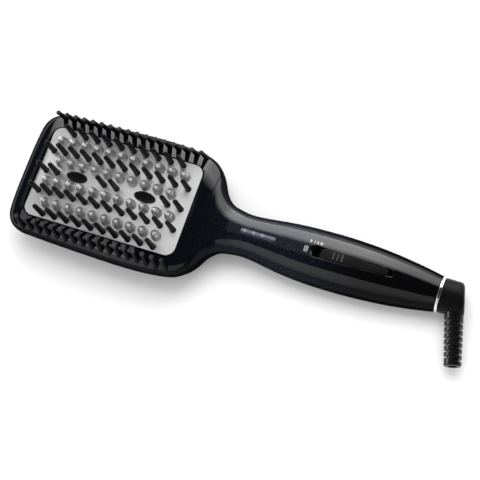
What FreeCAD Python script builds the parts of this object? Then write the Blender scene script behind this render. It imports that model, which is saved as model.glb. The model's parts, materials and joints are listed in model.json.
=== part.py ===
"""Heated styling brush: a paddle head with a heated plate, on a handle with a swivelling cord end.

Millimetres. +X runs from the head to the cord end, +Z out of the bristle face. The brush lies on its
back, with the origin on the flat back of the head, below the middle of the heater plate.
"""
import FreeCAD, Part
import math
import os
from FreeCAD import Vector

# Clearances
FIT_GAP = 0.1
RUN_GAP = 0.3
JOURNAL_GAP = 0.05
PLATE_GAP = 0.9

# Outer body: plan and heights at stations along X
WALL = 2.2
NOSE_RADIUS = 13.0
NOSE_CENTRE_X = -49.2
NOSE_FALL = 0.7
NOSE_ANGLES = (84, 76, 66, 54, 40, 25, 10)
SECTION_POINTS = 20
HEAD_HALF_WIDTH = 41.5
HEAD_SPLIT_Z = 22.6
HEAD_FRONT_Z = 33.6
HEAD_ROUNDNESS = 2.7
HANDLE_ROUNDNESS = 2.1
BACK_FLAT_DEPTH = 0.5
PARTING_RISE = 0.8
PARTING_GAP = 0.15
PARTING_POINTS = 40
SHOULDER_X = 61.0
SHOULDER_HALF_WIDTH = 30.2
NECK_X = 83.0
NECK_HALF_WIDTH = 13.2
NECK_FRONT_Z = 27.2
NECK_SPLIT_Z = 15.2
NECK_BACK_Z = 2.4
GRIP_X = 138.0
GRIP_HALF_WIDTH = 17.4
GRIP_FRONT_Z = 27.2
GRIP_SPLIT_Z = 11.2
TAIL_X = 204.7
TAIL_RADIUS = 10.8
AXIS_Z = 10.8
SEAM_X = 60.0
SEAM_GAP = 0.3

# Heater plate and what stands on it
PLATE_LENGTH = 101.0
PLATE_WIDTH = 59.0
PLATE_CORNER = 6.0
PLATE_BASE_Z = 29.5
PLATE_EDGE_Z = 31.5
PLATE_CROWN = 5.5
CROWN_POINTS = 9
SKIRT_WALL = 1.5
SKIRT_DEPTH = 6.5
BRISTLE_PITCH = 8.25
ROW_STEP = 6.7
BRISTLE_SLOTS = 12
BRISTLE_HEIGHT = 15.5
BRISTLE_BASE_RADIUS = 1.8
BRISTLE_TIP_RADIUS = 1.5
BRISTLE_GAP = 0.2
STUD_RADIUS = 3.2
STUD_TIP_RADIUS = 2.6
STUD_HEIGHT = 6.7
STUD_SINK = 1.0
STRIP_WIDTH = 3.8
STRIP_END = 2.2
STRIP_THICKNESS = 2.8
OUTLET_X = 22.7
OUTLET_LENGTH = 13.6
OUTLET_WIDTH = 6.4
OUTLET_WALL = 1.0
OUTLET_PROUD = 1.2
OUTLET_GRILLE = 1.0
OUTLET_SLOTS = 7
OUTLET_SLOT_WIDTH = 0.8

# Comb teeth on the frame
TOOTH_COUNT = 17
TOOTH_PITCH = 6.0
TOOTH_Y = 37.0
TOOTH_SINK = 1.4
TOOTH_HEIGHT = 13.5
TOOTH_LEAN = 2.0
TOOTH_BASE_RADIUS = 1.75
TOOTH_TIP_RADIUS = 1.2
TOOTH_BALL_RADIUS = 1.45

# Heater stack under the plate
HEATER_LENGTH = 72.0
HEATER_WIDTH = 7.0
HEATER_Y = 6.7
MICA_THICKNESS = 0.5
CLAMP_THICKNESS = 0.8
STACK_LENGTH = 92.0
STACK_WIDTH = 52.0
TRAY_THICKNESS = 3.9
TRAY_RIM = 1.6
EAR_X = 40.0
EAR_Y = 33.6
EAR_RADIUS = 3.6
EAR_THICKNESS = 2.0
PLATE_BOSS_X = 41.0
PLATE_BOSS_Y = 20.1
PLATE_BOSS_RADIUS = 2.4
SENSOR_LENGTH = 6.0
SENSOR_WIDTH = 3.0
SENSOR_HEIGHT = 2.0
FUSE_LENGTH = 10.0
FUSE_RADIUS = 1.3
NEEDLE_RADIUS = 0.45
NEEDLE_FOOT_RADIUS = 1.4
NEEDLE_FOOT_HEIGHT = 1.0
NEEDLE_TIP_Z = 34.0
GENERATOR_LENGTH = 32.0
GENERATOR_WIDTH = 18.0
GENERATOR_HEIGHT = 12.0
GENERATOR_Z = 2.0

# Screws
SCREW_RADIUS = 1.4
SCREW_HEAD_RADIUS = 2.6
SCREW_HEAD_HEIGHT = 1.8
SCREW_BITE = 5.0
SCREW_TIP_GAP = 0.5
RECESS_LENGTH = 3.0
RECESS_WIDTH = 0.7
RECESS_DEPTH = 0.9
POST_RADIUS = 3.5
POST_FLOOR = 2.2
POST_HEIGHT = 4.5
HANDLE_SCREWS = ((66.0, 13.0), (66.0, -13.0), (176.0, 8.0), (176.0, -8.0))
HANDLE_BOSS_RADIUS = 3.0

# Slide switch
SLOT_HEAD_X = 130.4
SLOT_TAIL_X = 176.2
SLOT_HEAD_RADIUS = 3.6
SLOT_TAIL_RADIUS = 1.8
SLIDE_TRAVEL = 6.3
BUTTON_TAIL_GAP = 3.0
BUTTON_PROUD = 0.5
BUTTON_BASE_Z = 22.5
FLANGE_TOP_Z = 23.5
FLANGE_REACH = 4.2
FLANGE_LENGTH = 32.0
FLANGE_HALF_WIDTH = 4.6
RIB_COUNT = 3
RIB_PITCH = 2.6
RIB_WIDTH = 1.2
RIB_LENGTH = 4.4
RIB_PROUD = 0.7
RIB_SEAT = 0.6
RIB_SETBACK = 4.8
SWITCH_LENGTH = 16.0
SWITCH_WIDTH = 9.0
SWITCH_HEIGHT = 6.0
LEVER_SETBACK = 8.0
LEVER_LENGTH = 2.4
LEVER_WIDTH = 2.0
LEVER_DEPTH = 2.0

# Windows and lamps
WINDOW_X = 94.4
WINDOW_LENGTH = 22.0
WINDOW_WIDTH = 2.8
WINDOW_BASE_Z = 22.5
LED_COUNT = 4
LED_PITCH = 5.6
LED_SIZE = 1.8
LED_HEIGHT = 1.1
LED_BOARD_LENGTH = 28.0
LED_BOARD_WIDTH = 7.0
LED_BOARD_THICKNESS = 1.0
LED_PEG_RADIUS = 1.2
LED_PEG_INSET = 1.4
LAMP_X = 124.6
LAMP_LENGTH = 2.6
LAMP_WIDTH = 3.6

# Control board
BOARD_HEAD_X = 121.0
BOARD_TAIL_X = 170.0
BOARD_WIDTH = 21.0
BOARD_Z = 10.5
BOARD_THICKNESS = 1.6
BOARD_POST_RADIUS = 2.0
BOARD_POST_INSET = 3.5
BOARD_POST_Y = 7.5
RELAY_LENGTH = 13.0
RELAY_WIDTH = 9.0
RELAY_HEIGHT = 8.0
RELAY_TAIL_GAP = 3.0
CAPACITOR_RADIUS = 3.2
CAPACITOR_HEIGHT = 8.5
CAPACITOR_INSET = 5.0
CAPACITOR_Y = 6.5

# Swivelling cord end
END_WALL = 4.0
JOURNAL_RADIUS = 7.0
FLANGE_RADIUS = 8.0
FLANGE_THICKNESS = 2.0
CORE_BORE = 3.2
CORE_SHAFT_RADIUS = 4.5
CORE_SHAFT_LENGTH = 14.0
RING_LENGTH = 1.8
RING_RADIUS = 10.9
RING_ROUND = 0.5
CAP_LENGTH = 13.3
CAP_RADIUS = 10.4
CAP_ROUND = 3.0
CAP_SOCKET = 5.0
CAP_CAVITY_RADIUS = 6.2
CAP_END_WALL = 1.6
CAP_HOLE_SETBACK = 7.2
SLIP_RING_RADIUS = 5.5
SLIP_RING_LENGTH = 2.5
SLIP_RING_PITCH = 5.0
SLIP_RING_SETBACK = 3.0
BRUSH_LENGTH = 2.4
BRUSH_WIDTH = 4.0
BRUSH_HEIGHT = 0.8
HOLDER_MARGIN = 1.4
HOLDER_WIDTH = 9.0
RELIEF_LEAN = 15.0
RELIEF_REACH = 40.0
RELIEF_ROOT_RADIUS = 5.75
RELIEF_TIP_RADIUS = 5.1
RELIEF_PLUG_RADIUS = 3.9
RELIEF_PLUG_DEPTH = 4.0
RELIEF_BORE = 2.8
RELIEF_CORE_WALL = 0.9
RELIEF_ROUND = 1.0
RELIEF_SLOTS = 7
RELIEF_SLOT_PITCH = 3.6
RELIEF_SLOT_WIDTH = 1.5
RELIEF_SLOT_START = 13.5
RELIEF_SPINE = 1.3
RELIEF_SHY = 0.03

# Wires
WIRE_RADIUS = 0.9
LEAD_RADIUS = 0.6
ARC_SHARE = 0.45
HEATER_LEAD_STEP = 1.55
LEAD_STEP = 2.6
RISER_X = 48.7
RISER_FOOT_Z = 19.0
BOARD_WIRE_REACH = 9.0
NECK_WIRE_Z = 14.5
SHOULDER_WIRE_X = 58.0
SHOULDER_WIRE_Z = 16.5
NECK_LEAD_Z = 12.6
FLOOR_LEAD_X = 64.0
FEED_LEAD_Z = 7.5
SENSOR_LEAD_Z = 11.0
SENSOR_LEAD_X = 52.0
SENSOR_LEAD_Y = 12.0
SENSOR_RISER_Y = 23.6
SENSOR_RISER_FOOT_Z = 16.0
SENSOR_BEND_X = 34.0
SENSOR_TURN_X = 22.0
NEEDLE_LEAD_Z = 10.0
LED_LEAD_REACH = 1.2
MAINS_Y = 3.0
MAINS_Z = 3.5
MAINS_FOOT_X = 177.0
MAINS_RISE_X = 174.0

# Worked-out levels
STRIP_BASE_Z = PLATE_BASE_Z - STRIP_THICKNESS
MICA_BASE_Z = STRIP_BASE_Z - MICA_THICKNESS
CLAMP_BASE_Z = MICA_BASE_Z - CLAMP_THICKNESS
TRAY_BASE_Z = CLAMP_BASE_Z - TRAY_THICKNESS
EAR_TOP_Z = TRAY_BASE_Z + EAR_THICKNESS
BOARD_TOP_Z = BOARD_Z + BOARD_THICKNESS
LED_BOARD_TOP_Z = WINDOW_BASE_Z - LED_HEIGHT
CAP_START_X = TAIL_X + RING_LENGTH + RUN_GAP
CAP_SHOULDER_X = CAP_START_X + CAP_SOCKET
CORE_FLANGE_X = TAIL_X - END_WALL - RUN_GAP - FLANGE_THICKNESS
CORE_START_X = CORE_FLANGE_X - CORE_SHAFT_LENGTH
BRUSH_TOP_Z = AXIS_Z - SLIP_RING_RADIUS - JOURNAL_GAP
BRUSH_BASE_Z = BRUSH_TOP_Z - BRUSH_HEIGHT
HOLDER_START_X = CORE_START_X + SLIP_RING_SETBACK - HOLDER_MARGIN
TRAY_CEILING_Z = CLAMP_BASE_Z - TRAY_RIM
BUTTON_HEAD_X = SLOT_HEAD_X + SLIDE_TRAVEL + RUN_GAP
BUTTON_TAIL_X = SLOT_TAIL_X - BUTTON_TAIL_GAP
LEVER_X = BUTTON_HEAD_X + LEVER_SETBACK
MID_WIRE_Z = BOARD_Z + 0.5 * BOARD_THICKNESS
TALL = 200.0


def station_rows():
    """Stations of the body: x, half width, front height, back height, split height, roundness."""
    head = HEAD_HALF_WIDTH
    return (
        (NOSE_CENTRE_X, head - 1.8, HEAD_FRONT_Z - 0.6, 0.0, HEAD_SPLIT_Z, HEAD_ROUNDNESS),
        (0.0, head, HEAD_FRONT_Z, 0.0, HEAD_SPLIT_Z, HEAD_ROUNDNESS),
        (43.0, head - 1.4, HEAD_FRONT_Z - 0.5, 0.0, HEAD_SPLIT_Z, HEAD_ROUNDNESS),
        (51.0, head - 3.2, HEAD_FRONT_Z - 1.2, 0.0, HEAD_SPLIT_Z - 0.2, HEAD_ROUNDNESS - 0.1),
        (56.5, head - 6.3, HEAD_FRONT_Z - 2.0, 0.2, HEAD_SPLIT_Z - 0.7, HEAD_ROUNDNESS - 0.3),
        (SHOULDER_X, SHOULDER_HALF_WIDTH, HEAD_FRONT_Z - 2.9, 0.5, HEAD_SPLIT_Z - 1.5, 2.5),
        (SHOULDER_X + 3.5, SHOULDER_HALF_WIDTH - 6.6, HEAD_FRONT_Z - 3.6, 0.9, HEAD_SPLIT_Z - 2.6, 2.4),
        (SHOULDER_X + 7.0, NECK_HALF_WIDTH + 5.6, NECK_FRONT_Z + 1.6, 1.4, NECK_SPLIT_Z + 3.6, 2.3),
        (NECK_X - 11.5, NECK_HALF_WIDTH + 2.6, NECK_FRONT_Z + 0.9, 1.8, NECK_SPLIT_Z + 2.2, 2.2),
        (NECK_X - 6.0, NECK_HALF_WIDTH + 0.9, NECK_FRONT_Z + 0.3, 2.3, NECK_SPLIT_Z + 1.0, HANDLE_ROUNDNESS),
        (NECK_X, NECK_HALF_WIDTH, NECK_FRONT_Z, NECK_BACK_Z, NECK_SPLIT_Z, HANDLE_ROUNDNESS),
        (NECK_X + 13.0, NECK_HALF_WIDTH + 0.8, NECK_FRONT_Z, 1.5, NECK_SPLIT_Z - 1.4, HANDLE_ROUNDNESS),
        (GRIP_X - 26.0, GRIP_HALF_WIDTH - 1.3, GRIP_FRONT_Z, 0.2, GRIP_SPLIT_Z + 1.0, HANDLE_ROUNDNESS),
        (GRIP_X, GRIP_HALF_WIDTH, GRIP_FRONT_Z, 0.0, GRIP_SPLIT_Z, HANDLE_ROUNDNESS),
        (GRIP_X + 22.0, GRIP_HALF_WIDTH - 0.6, GRIP_FRONT_Z - 0.3, 0.0, GRIP_SPLIT_Z, HANDLE_ROUNDNESS),
        (GRIP_X + 40.0, GRIP_HALF_WIDTH - 2.2, GRIP_FRONT_Z - 1.6, 0.0, AXIS_Z, HANDLE_ROUNDNESS),
        (GRIP_X + 54.0, 0.5 * (GRIP_HALF_WIDTH + TAIL_RADIUS) - 0.9, AXIS_Z + 13.0, 0.1, AXIS_Z, 2.05),
        (TAIL_X, TAIL_RADIUS, AXIS_Z + TAIL_RADIUS, AXIS_Z - TAIL_RADIUS, AXIS_Z, 2.0),
    )


def slopes(xs, ys):
    """Slopes at each station that keep the curve free of overshoot."""
    steps = [(ys[i + 1] - ys[i]) / (xs[i + 1] - xs[i]) for i in range(len(xs) - 1)]
    result = [steps[0]]
    for before, after in zip(steps, steps[1:]):
        mean = 2 * before * after / (before + after) if before * after > 0 else 0.0
        result.append(mean)
    return result + [steps[-1]]


def blend(xs, ys, x):
    """Height of the smooth curve through the stations at x."""
    tangents = slopes(xs, ys)
    i = max(k for k in range(len(xs) - 1) if xs[k] <= x or k == 0)
    span = xs[i + 1] - xs[i]
    t = (x - xs[i]) / span
    rise = t * t * (3 - 2 * t)
    start = t * (1 - t) ** 2 * span * tangents[i]
    end = t * t * (t - 1) * span * tangents[i + 1]
    return ys[i] * (1 - rise) + ys[i + 1] * rise + start + end


def body_sizes(x):
    """Half width, front, back, split and roundness of the body at x."""
    columns = list(zip(*station_rows()))
    return [blend(columns[0], column, x) for column in columns[1:]]


def signed_power(value, power):
    """The value raised to a power, with its sign kept."""
    return math.copysign(abs(value) ** power, value)


def half_section(x, half_width, height, split, roundness, first_angle):
    """Upper or lower half of a rounded section, from first_angle on through half a turn."""
    points = []
    for i in range(SECTION_POINTS + 1):
        angle = first_angle + math.pi * i / SECTION_POINTS
        y = half_width * signed_power(math.cos(angle), 2 / roundness)
        z = split + height * signed_power(math.sin(angle), 2 / roundness)
        points.append(Vector(x, y, z))
    points[0].z = split
    points[-1].z = split
    curve = Part.BSplineCurve()
    curve.interpolate(Points=points)
    return curve.toShape()


def section_wire(x, half_width, rise, drop, split, roundness):
    """Closed rounded section of the body, square to X, in a front and a back half."""
    front = half_section(x, half_width, rise, split, roundness, 0.0)
    back = half_section(x, half_width, drop, split, roundness, math.pi)
    return Part.Wire([front, back])


def nose_wire(degrees, inset):
    """Section through the rounded front end of the head, moved in by the inset."""
    half_width, front, back, split, roundness = body_sizes(NOSE_CENTRE_X)
    angle = math.radians(degrees)
    radius = NOSE_RADIUS - inset
    fall = math.cos(angle) ** NOSE_FALL
    x = NOSE_CENTRE_X - radius * math.sin(angle)
    width = half_width - inset - radius * (1 - math.cos(angle))
    rise = (front - split - inset) * fall
    drop = (split - back + BACK_FLAT_DEPTH - inset) * fall
    return section_wire(x, width, rise, drop, split, roundness)


def body_wire(x, inset):
    """Section of the body at x, moved in by the inset."""
    half_width, front, back, split, roundness = body_sizes(x)
    drop = split - back + BACK_FLAT_DEPTH * (back < 0.5 * BACK_FLAT_DEPTH) - inset
    return section_wire(x, half_width - inset, front - split - inset, drop, split, roundness)


def body_xs(start, end):
    """Places along X where the body's sections are taken."""
    stations = [row[0] for row in station_rows()]
    inner = [x for x in stations if start + 1 < x < end - 1]
    return [start] + inner + [end]


def body_solid(inset, end_x, start_x=None):
    """The body, moved in by the inset, from the nose or from start_x to end_x."""
    if start_x is None:
        wires = [nose_wire(degrees, inset) for degrees in NOSE_ANGLES]
        wires += [body_wire(x, inset) for x in body_xs(NOSE_CENTRE_X, end_x)]
    else:
        wires = [body_wire(x, inset) for x in body_xs(start_x, end_x)]
    return Part.makeLoft(wires, True, False)


def back_height(x, y):
    """Height of the outer back surface at x, y."""
    half_width, front, back, split, roundness = body_sizes(x)
    return split - (split - back) * (1 - abs(y / half_width) ** roundness) ** (1 / roundness)


def front_height(x, y):
    """Height of the outer front surface at x, y."""
    half_width, front, back, split, roundness = body_sizes(x)
    return split + (front - split) * (1 - abs(y / half_width) ** roundness) ** (1 / roundness)


def box(x0, x1, y0, y1, z0, z1):
    """A box between two corners."""
    return Part.makeBox(x1 - x0, y1 - y0, z1 - z0, Vector(x0, y0, z0))


def centred_box(x, y, length, width, z0, z1):
    """A box centred at x, y."""
    return box(x - length / 2, x + length / 2, y - width / 2, y + width / 2, z0, z1)


def rod(x, y, radius, z0, z1):
    """An upright cylinder."""
    return Part.makeCylinder(radius, z1 - z0, Vector(x, y, z0))


def along(radius, x0, x1, y=0.0, z=AXIS_Z):
    """A cylinder along X."""
    return Part.makeCylinder(radius, x1 - x0, Vector(x0, y, z), Vector(1, 0, 0))


def fuse_all(first, others):
    """The first solid with the others joined on."""
    return first.multiFuse(others).removeSplitter()


def cut_all(first, others):
    """The first solid with the others cut away."""
    return first.cut(others)


def prism(wire, z0, z1):
    """A flat outline drawn at z = 0, raised from z0 to z1."""
    face = Part.Face(wire)
    face.translate(Vector(0, 0, z0))
    return face.extrude(Vector(0, 0, z1 - z0))


def rounded_rectangle(length, width, corner):
    """Outline of a rectangle with round corners, centred on the origin."""
    a = length / 2 - corner
    b = width / 2 - corner
    diagonal = corner * math.sqrt(0.5)
    edges = []
    for turn in range(4):
        u, v = ((a, b), (b, a))[turn % 2]
        arc = Part.Arc(Vector(u + corner, v), Vector(u + diagonal, v + diagonal), Vector(u, v + corner))
        side = Part.LineSegment(Vector(u, v + corner), Vector(-u, v + corner))
        for edge in (arc.toShape(), side.toShape()):
            edge.rotate(Vector(0, 0, 0), Vector(0, 0, 1), 90 * turn)
            edges.append(edge)
    return Part.Wire(Part.__sortEdges__(edges))


def taper_outline(x0, radius0, x1, radius1):
    """Outline with a round end at each of two places on the X axis."""
    lean = math.asin((radius0 - radius1) / (x1 - x0))
    s, c = math.sin(lean), math.cos(lean)
    start = [Vector(x0 + radius0 * s, side * radius0 * c) for side in (1, -1)]
    end = [Vector(x1 + radius1 * s, side * radius1 * c) for side in (1, -1)]
    edges = [
        Part.Arc(start[0], Vector(x0 - radius0, 0), start[1]).toShape(),
        Part.LineSegment(start[1], end[1]).toShape(),
        Part.Arc(end[1], Vector(x1 + radius1, 0), end[0]).toShape(),
        Part.LineSegment(end[0], start[0]).toShape(),
    ]
    return Part.Wire(edges)


def stadium(x, length, width):
    """Outline with two equal round ends, centred at x."""
    reach = (length - width) / 2
    return taper_outline(x - reach, width / 2, x + reach, width / 2)


def window_outline(margin):
    """Outline of the indicator window, grown by the margin."""
    return stadium(WINDOW_X, WINDOW_LENGTH + 2 * margin, WINDOW_WIDTH + 2 * margin)


def peg(x, y, z, heights_and_radii, tip_radius):
    """A round peg with a domed tip, turned about an upright axis through x, y."""
    points = [Vector(radius, 0, height) for height, radius in heights_and_radii]
    top = points[-1].z + tip_radius
    shoulder = Vector(tip_radius, 0, points[-1].z)
    middle = Vector(tip_radius * math.sqrt(0.5), 0, shoulder.z + tip_radius * math.sqrt(0.5))
    outline = [Vector(0, 0, points[0].z)] + points
    edges = [Part.LineSegment(a, b).toShape() for a, b in zip(outline, outline[1:])]
    edges.append(Part.Arc(shoulder, middle, Vector(0, 0, top)).toShape())
    edges.append(Part.LineSegment(Vector(0, 0, top), outline[0]).toShape())
    solid = Part.Face(Part.Wire(edges)).revolve(Vector(0, 0, 0), Vector(0, 0, 1), 360)
    solid.translate(Vector(x, y, z))
    return solid


def tube(points, radius):
    """A round wire along straight runs joined by tangent arcs."""
    spots = [Vector(*point) for point in points]
    edges = []
    last = spots[0]
    for before, corner, after in zip(spots, spots[1:], spots[2:]):
        into = (corner - before).normalize()
        out = (after - corner).normalize()
        reach = ARC_SHARE * min((corner - before).Length, (after - corner).Length)
        start = corner - into * reach
        end = corner + out * reach
        half_turn = 0.5 * into.getAngle(out)
        bisector = (out - into).normalize()
        middle = corner + bisector * (reach * (1 - math.cos(half_turn)) / math.sin(half_turn))
        edges.append(Part.LineSegment(last, start).toShape())
        edges.append(Part.Arc(start, middle, end).toShape())
        last = end
    edges.append(Part.LineSegment(last, spots[-1]).toShape())
    path = Part.Wire(edges)
    profile = Part.Wire([Part.Circle(spots[0], spots[1] - spots[0], radius).toShape()])
    return path.makePipeShell([profile], True, False)


def above_parting(drop):
    """Everything above the parting line of the shells, moved down by the drop."""
    step = (TAIL_X - NOSE_CENTRE_X) / PARTING_POINTS
    xs = [NOSE_CENTRE_X + i * step for i in range(PARTING_POINTS + 1)]
    heights = [body_sizes(x)[3] + PARTING_RISE - drop for x in xs]
    start = Vector(NOSE_CENTRE_X - TALL, -TALL, heights[0])
    end = Vector(TAIL_X + TALL, -TALL, heights[-1])
    curve = Part.BSplineCurve()
    curve.interpolate(Points=[Vector(x, -TALL, z) for x, z in zip(xs, heights)])
    top = [Vector(end.x, -TALL, TALL), Vector(start.x, -TALL, TALL)]
    edges = [
        Part.LineSegment(start, curve.StartPoint).toShape(),
        curve.toShape(),
        Part.LineSegment(curve.EndPoint, end).toShape(),
        Part.LineSegment(end, top[0]).toShape(),
        Part.LineSegment(top[0], top[1]).toShape(),
        Part.LineSegment(top[1], start).toShape(),
    ]
    return Part.Face(Part.Wire(edges)).extrude(Vector(0, 2 * TALL, 0))


def crown(x, y):
    """Height of the domed face of the heater plate at x, y."""
    across = 1 - (2 * y / PLATE_WIDTH) ** 2
    lengthwise = 1 - (2 * x / PLATE_LENGTH) ** 2
    return PLATE_EDGE_Z + PLATE_CROWN * across * lengthwise


def slot_x(slot):
    """Place along X of a bristle slot, counted from 1 at the front end of the head."""
    return (slot - (BRISTLE_SLOTS + 1) / 2) * BRISTLE_PITCH


def strip_layout():
    """Row and bristle slots of each bristle strip."""
    last = BRISTLE_SLOTS
    short = list(range(2, last))
    full = list(range(1, last + 1))
    middle = last // 2
    return (
        (4, short),
        (2, full),
        (0, [1, 2]),
        (0, [middle, middle + 1]),
        (0, [last - 1, last]),
        (-2, full),
        (-4, short),
    )


def stud_places():
    """Places of the studs, in rows between the bristles."""
    last = BRISTLE_SLOTS
    between = [slot + 0.5 for slot in range(1, last)]
    in_line = list(range(2, last))
    rows = ((3, between), (1, in_line), (-1, between), (-3, in_line))
    return [(slot_x(slot), row * ROW_STEP) for row, slots in rows for slot in slots]


def plate_outline(margin):
    """Outline of the heater plate, grown by the margin."""
    return rounded_rectangle(PLATE_LENGTH + 2 * margin, PLATE_WIDTH + 2 * margin, PLATE_CORNER + margin)


def plate_boss_places():
    """Places of the four screw bosses under the heater plate."""
    return [(sx * PLATE_BOSS_X, sy * PLATE_BOSS_Y) for sx in (-1, 1) for sy in (-1, 1)]


def ear_places():
    """Places of the four head screws."""
    return [(sx * EAR_X, sy * EAR_Y) for sx in (-1, 1) for sy in (-1, 1)]


def domed_block():
    """A block under the domed face of the heater plate."""
    reach_x = PLATE_LENGTH / 2 + PLATE_GAP
    reach_y = PLATE_WIDTH / 2 + PLATE_GAP
    shares = [2 * i / (CROWN_POINTS - 1) - 1 for i in range(CROWN_POINTS)]
    rows = []
    for share_x in shares:
        x = share_x * reach_x
        rows.append([Vector(x, share * reach_y, crown(x, share * reach_y)) for share in shares])
    surface = Part.BSplineSurface()
    surface.interpolate(rows)
    return surface.toShape().extrude(Vector(0, 0, -TALL))


def outlet_outline(side, margin):
    """Oval outline of an ion outlet, grown by the margin."""
    middle = Vector(side * OUTLET_X, 0, 0)
    oval = Part.Ellipse(middle, OUTLET_LENGTH / 2 + margin, OUTLET_WIDTH / 2 + margin)
    return Part.Wire([oval.toShape()])


def heater_plate():
    """Domed plate with studs, bristle holes, outlet holes and screw bosses."""
    plate = prism(plate_outline(0.0), PLATE_BASE_Z, TALL).common(domed_block())
    shoulder = STUD_HEIGHT - STUD_TIP_RADIUS
    profile = ((-STUD_SINK, STUD_RADIUS), (0.0, STUD_RADIUS), (shoulder, STUD_TIP_RADIUS))
    studs = [peg(x, y, crown(x, y), profile, STUD_TIP_RADIUS) for x, y in stud_places()]
    bosses = [rod(x, y, PLATE_BOSS_RADIUS, CLAMP_BASE_Z, PLATE_BASE_Z) for x, y in plate_boss_places()]
    plate = fuse_all(plate, studs + bosses)
    hole_radius = BRISTLE_BASE_RADIUS + BRISTLE_GAP
    holes = []
    for row, slots in strip_layout():
        holes += [rod(slot_x(slot), row * ROW_STEP, hole_radius, 0, TALL) for slot in slots]
    holes += [prism(outlet_outline(side, FIT_GAP), 0, TALL) for side in (-1, 1)]
    screw_top = CLAMP_BASE_Z + SCREW_BITE
    holes += [rod(x, y, SCREW_RADIUS + JOURNAL_GAP, 0, screw_top) for x, y in plate_boss_places()]
    return cut_all(plate, holes)


def bristle_strip(row, slots):
    """A strip below the plate with bristles that stand through it."""
    y = row * ROW_STEP
    first, last = slot_x(slots[0]) - STRIP_END, slot_x(slots[-1]) + STRIP_END
    half = STRIP_WIDTH / 2
    bar = box(first, last, y - half, y + half, STRIP_BASE_Z, PLATE_BASE_Z)
    bristles = []
    for slot in slots:
        x = slot_x(slot)
        top = crown(x, y)
        profile = (
            (STRIP_BASE_Z - top + STRIP_THICKNESS / 2, BRISTLE_BASE_RADIUS),
            (0.0, BRISTLE_BASE_RADIUS),
            (BRISTLE_HEIGHT - BRISTLE_TIP_RADIUS, BRISTLE_TIP_RADIUS),
        )
        bristles.append(peg(x, y, top, profile, BRISTLE_TIP_RADIUS))
    return fuse_all(bar, bristles)


def ion_outlet(side):
    """Oval insert through the plate, with a slotted grille at its top."""
    x = side * OUTLET_X
    top = crown(x, 0.0) + OUTLET_PROUD
    sleeve = prism(outlet_outline(side, 0.0), STRIP_BASE_Z, top)
    hollow = outlet_outline(side, -OUTLET_WALL)
    shaft = prism(hollow, 0, TALL)
    cuts = [prism(hollow, 0, top - OUTLET_GRILLE)]
    pitch = (OUTLET_LENGTH - 2 * OUTLET_WALL) / OUTLET_SLOTS
    for i in range(OUTLET_SLOTS):
        place = x + (i - (OUTLET_SLOTS - 1) / 2) * pitch
        cuts.append(centred_box(place, 0, OUTLET_SLOT_WIDTH, OUTLET_WIDTH, 0, TALL).common(shaft))
    return cut_all(sleeve, cuts)


def comb_tooth(x, side):
    """A slim leaning tooth with a ball tip, on one long side of the frame."""
    base = Vector(x, side * TOOTH_Y, front_height(x, TOOTH_Y) - TOOTH_SINK)
    rise = Vector(0, -side * TOOTH_LEAN, TOOTH_HEIGHT + TOOTH_SINK)
    ball_z = rise.Length
    neck_z = ball_z - math.sqrt(TOOTH_BALL_RADIUS ** 2 - TOOTH_TIP_RADIUS ** 2)
    foot = Vector(0, 0, 0)
    rim = Vector(TOOTH_BASE_RADIUS, 0, 0)
    neck = Vector(TOOTH_TIP_RADIUS, 0, neck_z)
    tip = Vector(0, 0, ball_z + TOOTH_BALL_RADIUS)
    edges = [
        Part.LineSegment(foot, rim).toShape(),
        Part.LineSegment(rim, neck).toShape(),
        Part.Arc(neck, Vector(TOOTH_BALL_RADIUS, 0, ball_z), tip).toShape(),
        Part.LineSegment(tip, foot).toShape(),
    ]
    tooth = Part.Face(Part.Wire(edges)).revolve(Vector(0, 0, 0), Vector(0, 0, 1), 360)
    tooth.Placement = FreeCAD.Placement(base, FreeCAD.Rotation(Vector(0, 0, 1), rise))
    return tooth


def comb_teeth():
    """The teeth along both long sides of the frame."""
    places = [(i - (TOOTH_COUNT - 1) / 2) * TOOTH_PITCH for i in range(TOOTH_COUNT)]
    return [comb_tooth(x, side) for x in places for side in (-1, 1)]


def head_frame(outer, front_shell):
    """Front rim of the head, with a skirt round the plate, screw bosses and comb teeth."""
    seam = box(-TALL, SEAM_X - SEAM_GAP / 2, -TALL, TALL, -TALL, TALL)
    opening = prism(plate_outline(PLATE_GAP), 0, TALL)
    skirt = prism(plate_outline(PLATE_GAP + SKIRT_WALL), PLATE_EDGE_Z - SKIRT_DEPTH, TALL)
    bosses = [rod(x, y, POST_RADIUS, EAR_TOP_Z, TALL) for x, y in ear_places()]
    lining = fuse_all(skirt, bosses).common(outer)
    frame = fuse_all(front_shell.common(seam), [lining]).cut(opening)
    holes = [rod(x, y, SCREW_RADIUS + JOURNAL_GAP, 0, EAR_TOP_Z + SCREW_BITE) for x, y in ear_places()]
    return fuse_all(cut_all(frame, holes), comb_teeth())


def handle_seat(x, y):
    """Heights of a handle screw's head seat and of the joint between its post and boss."""
    seat = back_height(x, abs(y) + SCREW_HEAD_RADIUS) + POST_FLOOR
    return seat, seat + POST_HEIGHT


def slot_outline(margin):
    """Outline of the long slot in the handle, grown by the margin."""
    return taper_outline(SLOT_HEAD_X, SLOT_HEAD_RADIUS + margin, SLOT_TAIL_X, SLOT_TAIL_RADIUS + margin)


def led_peg_places():
    """Places along X of the two pegs that carry the lamp board."""
    reach = LED_BOARD_LENGTH / 2 - LED_PEG_INSET
    return (WINDOW_X - reach, WINDOW_X + reach)


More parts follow.
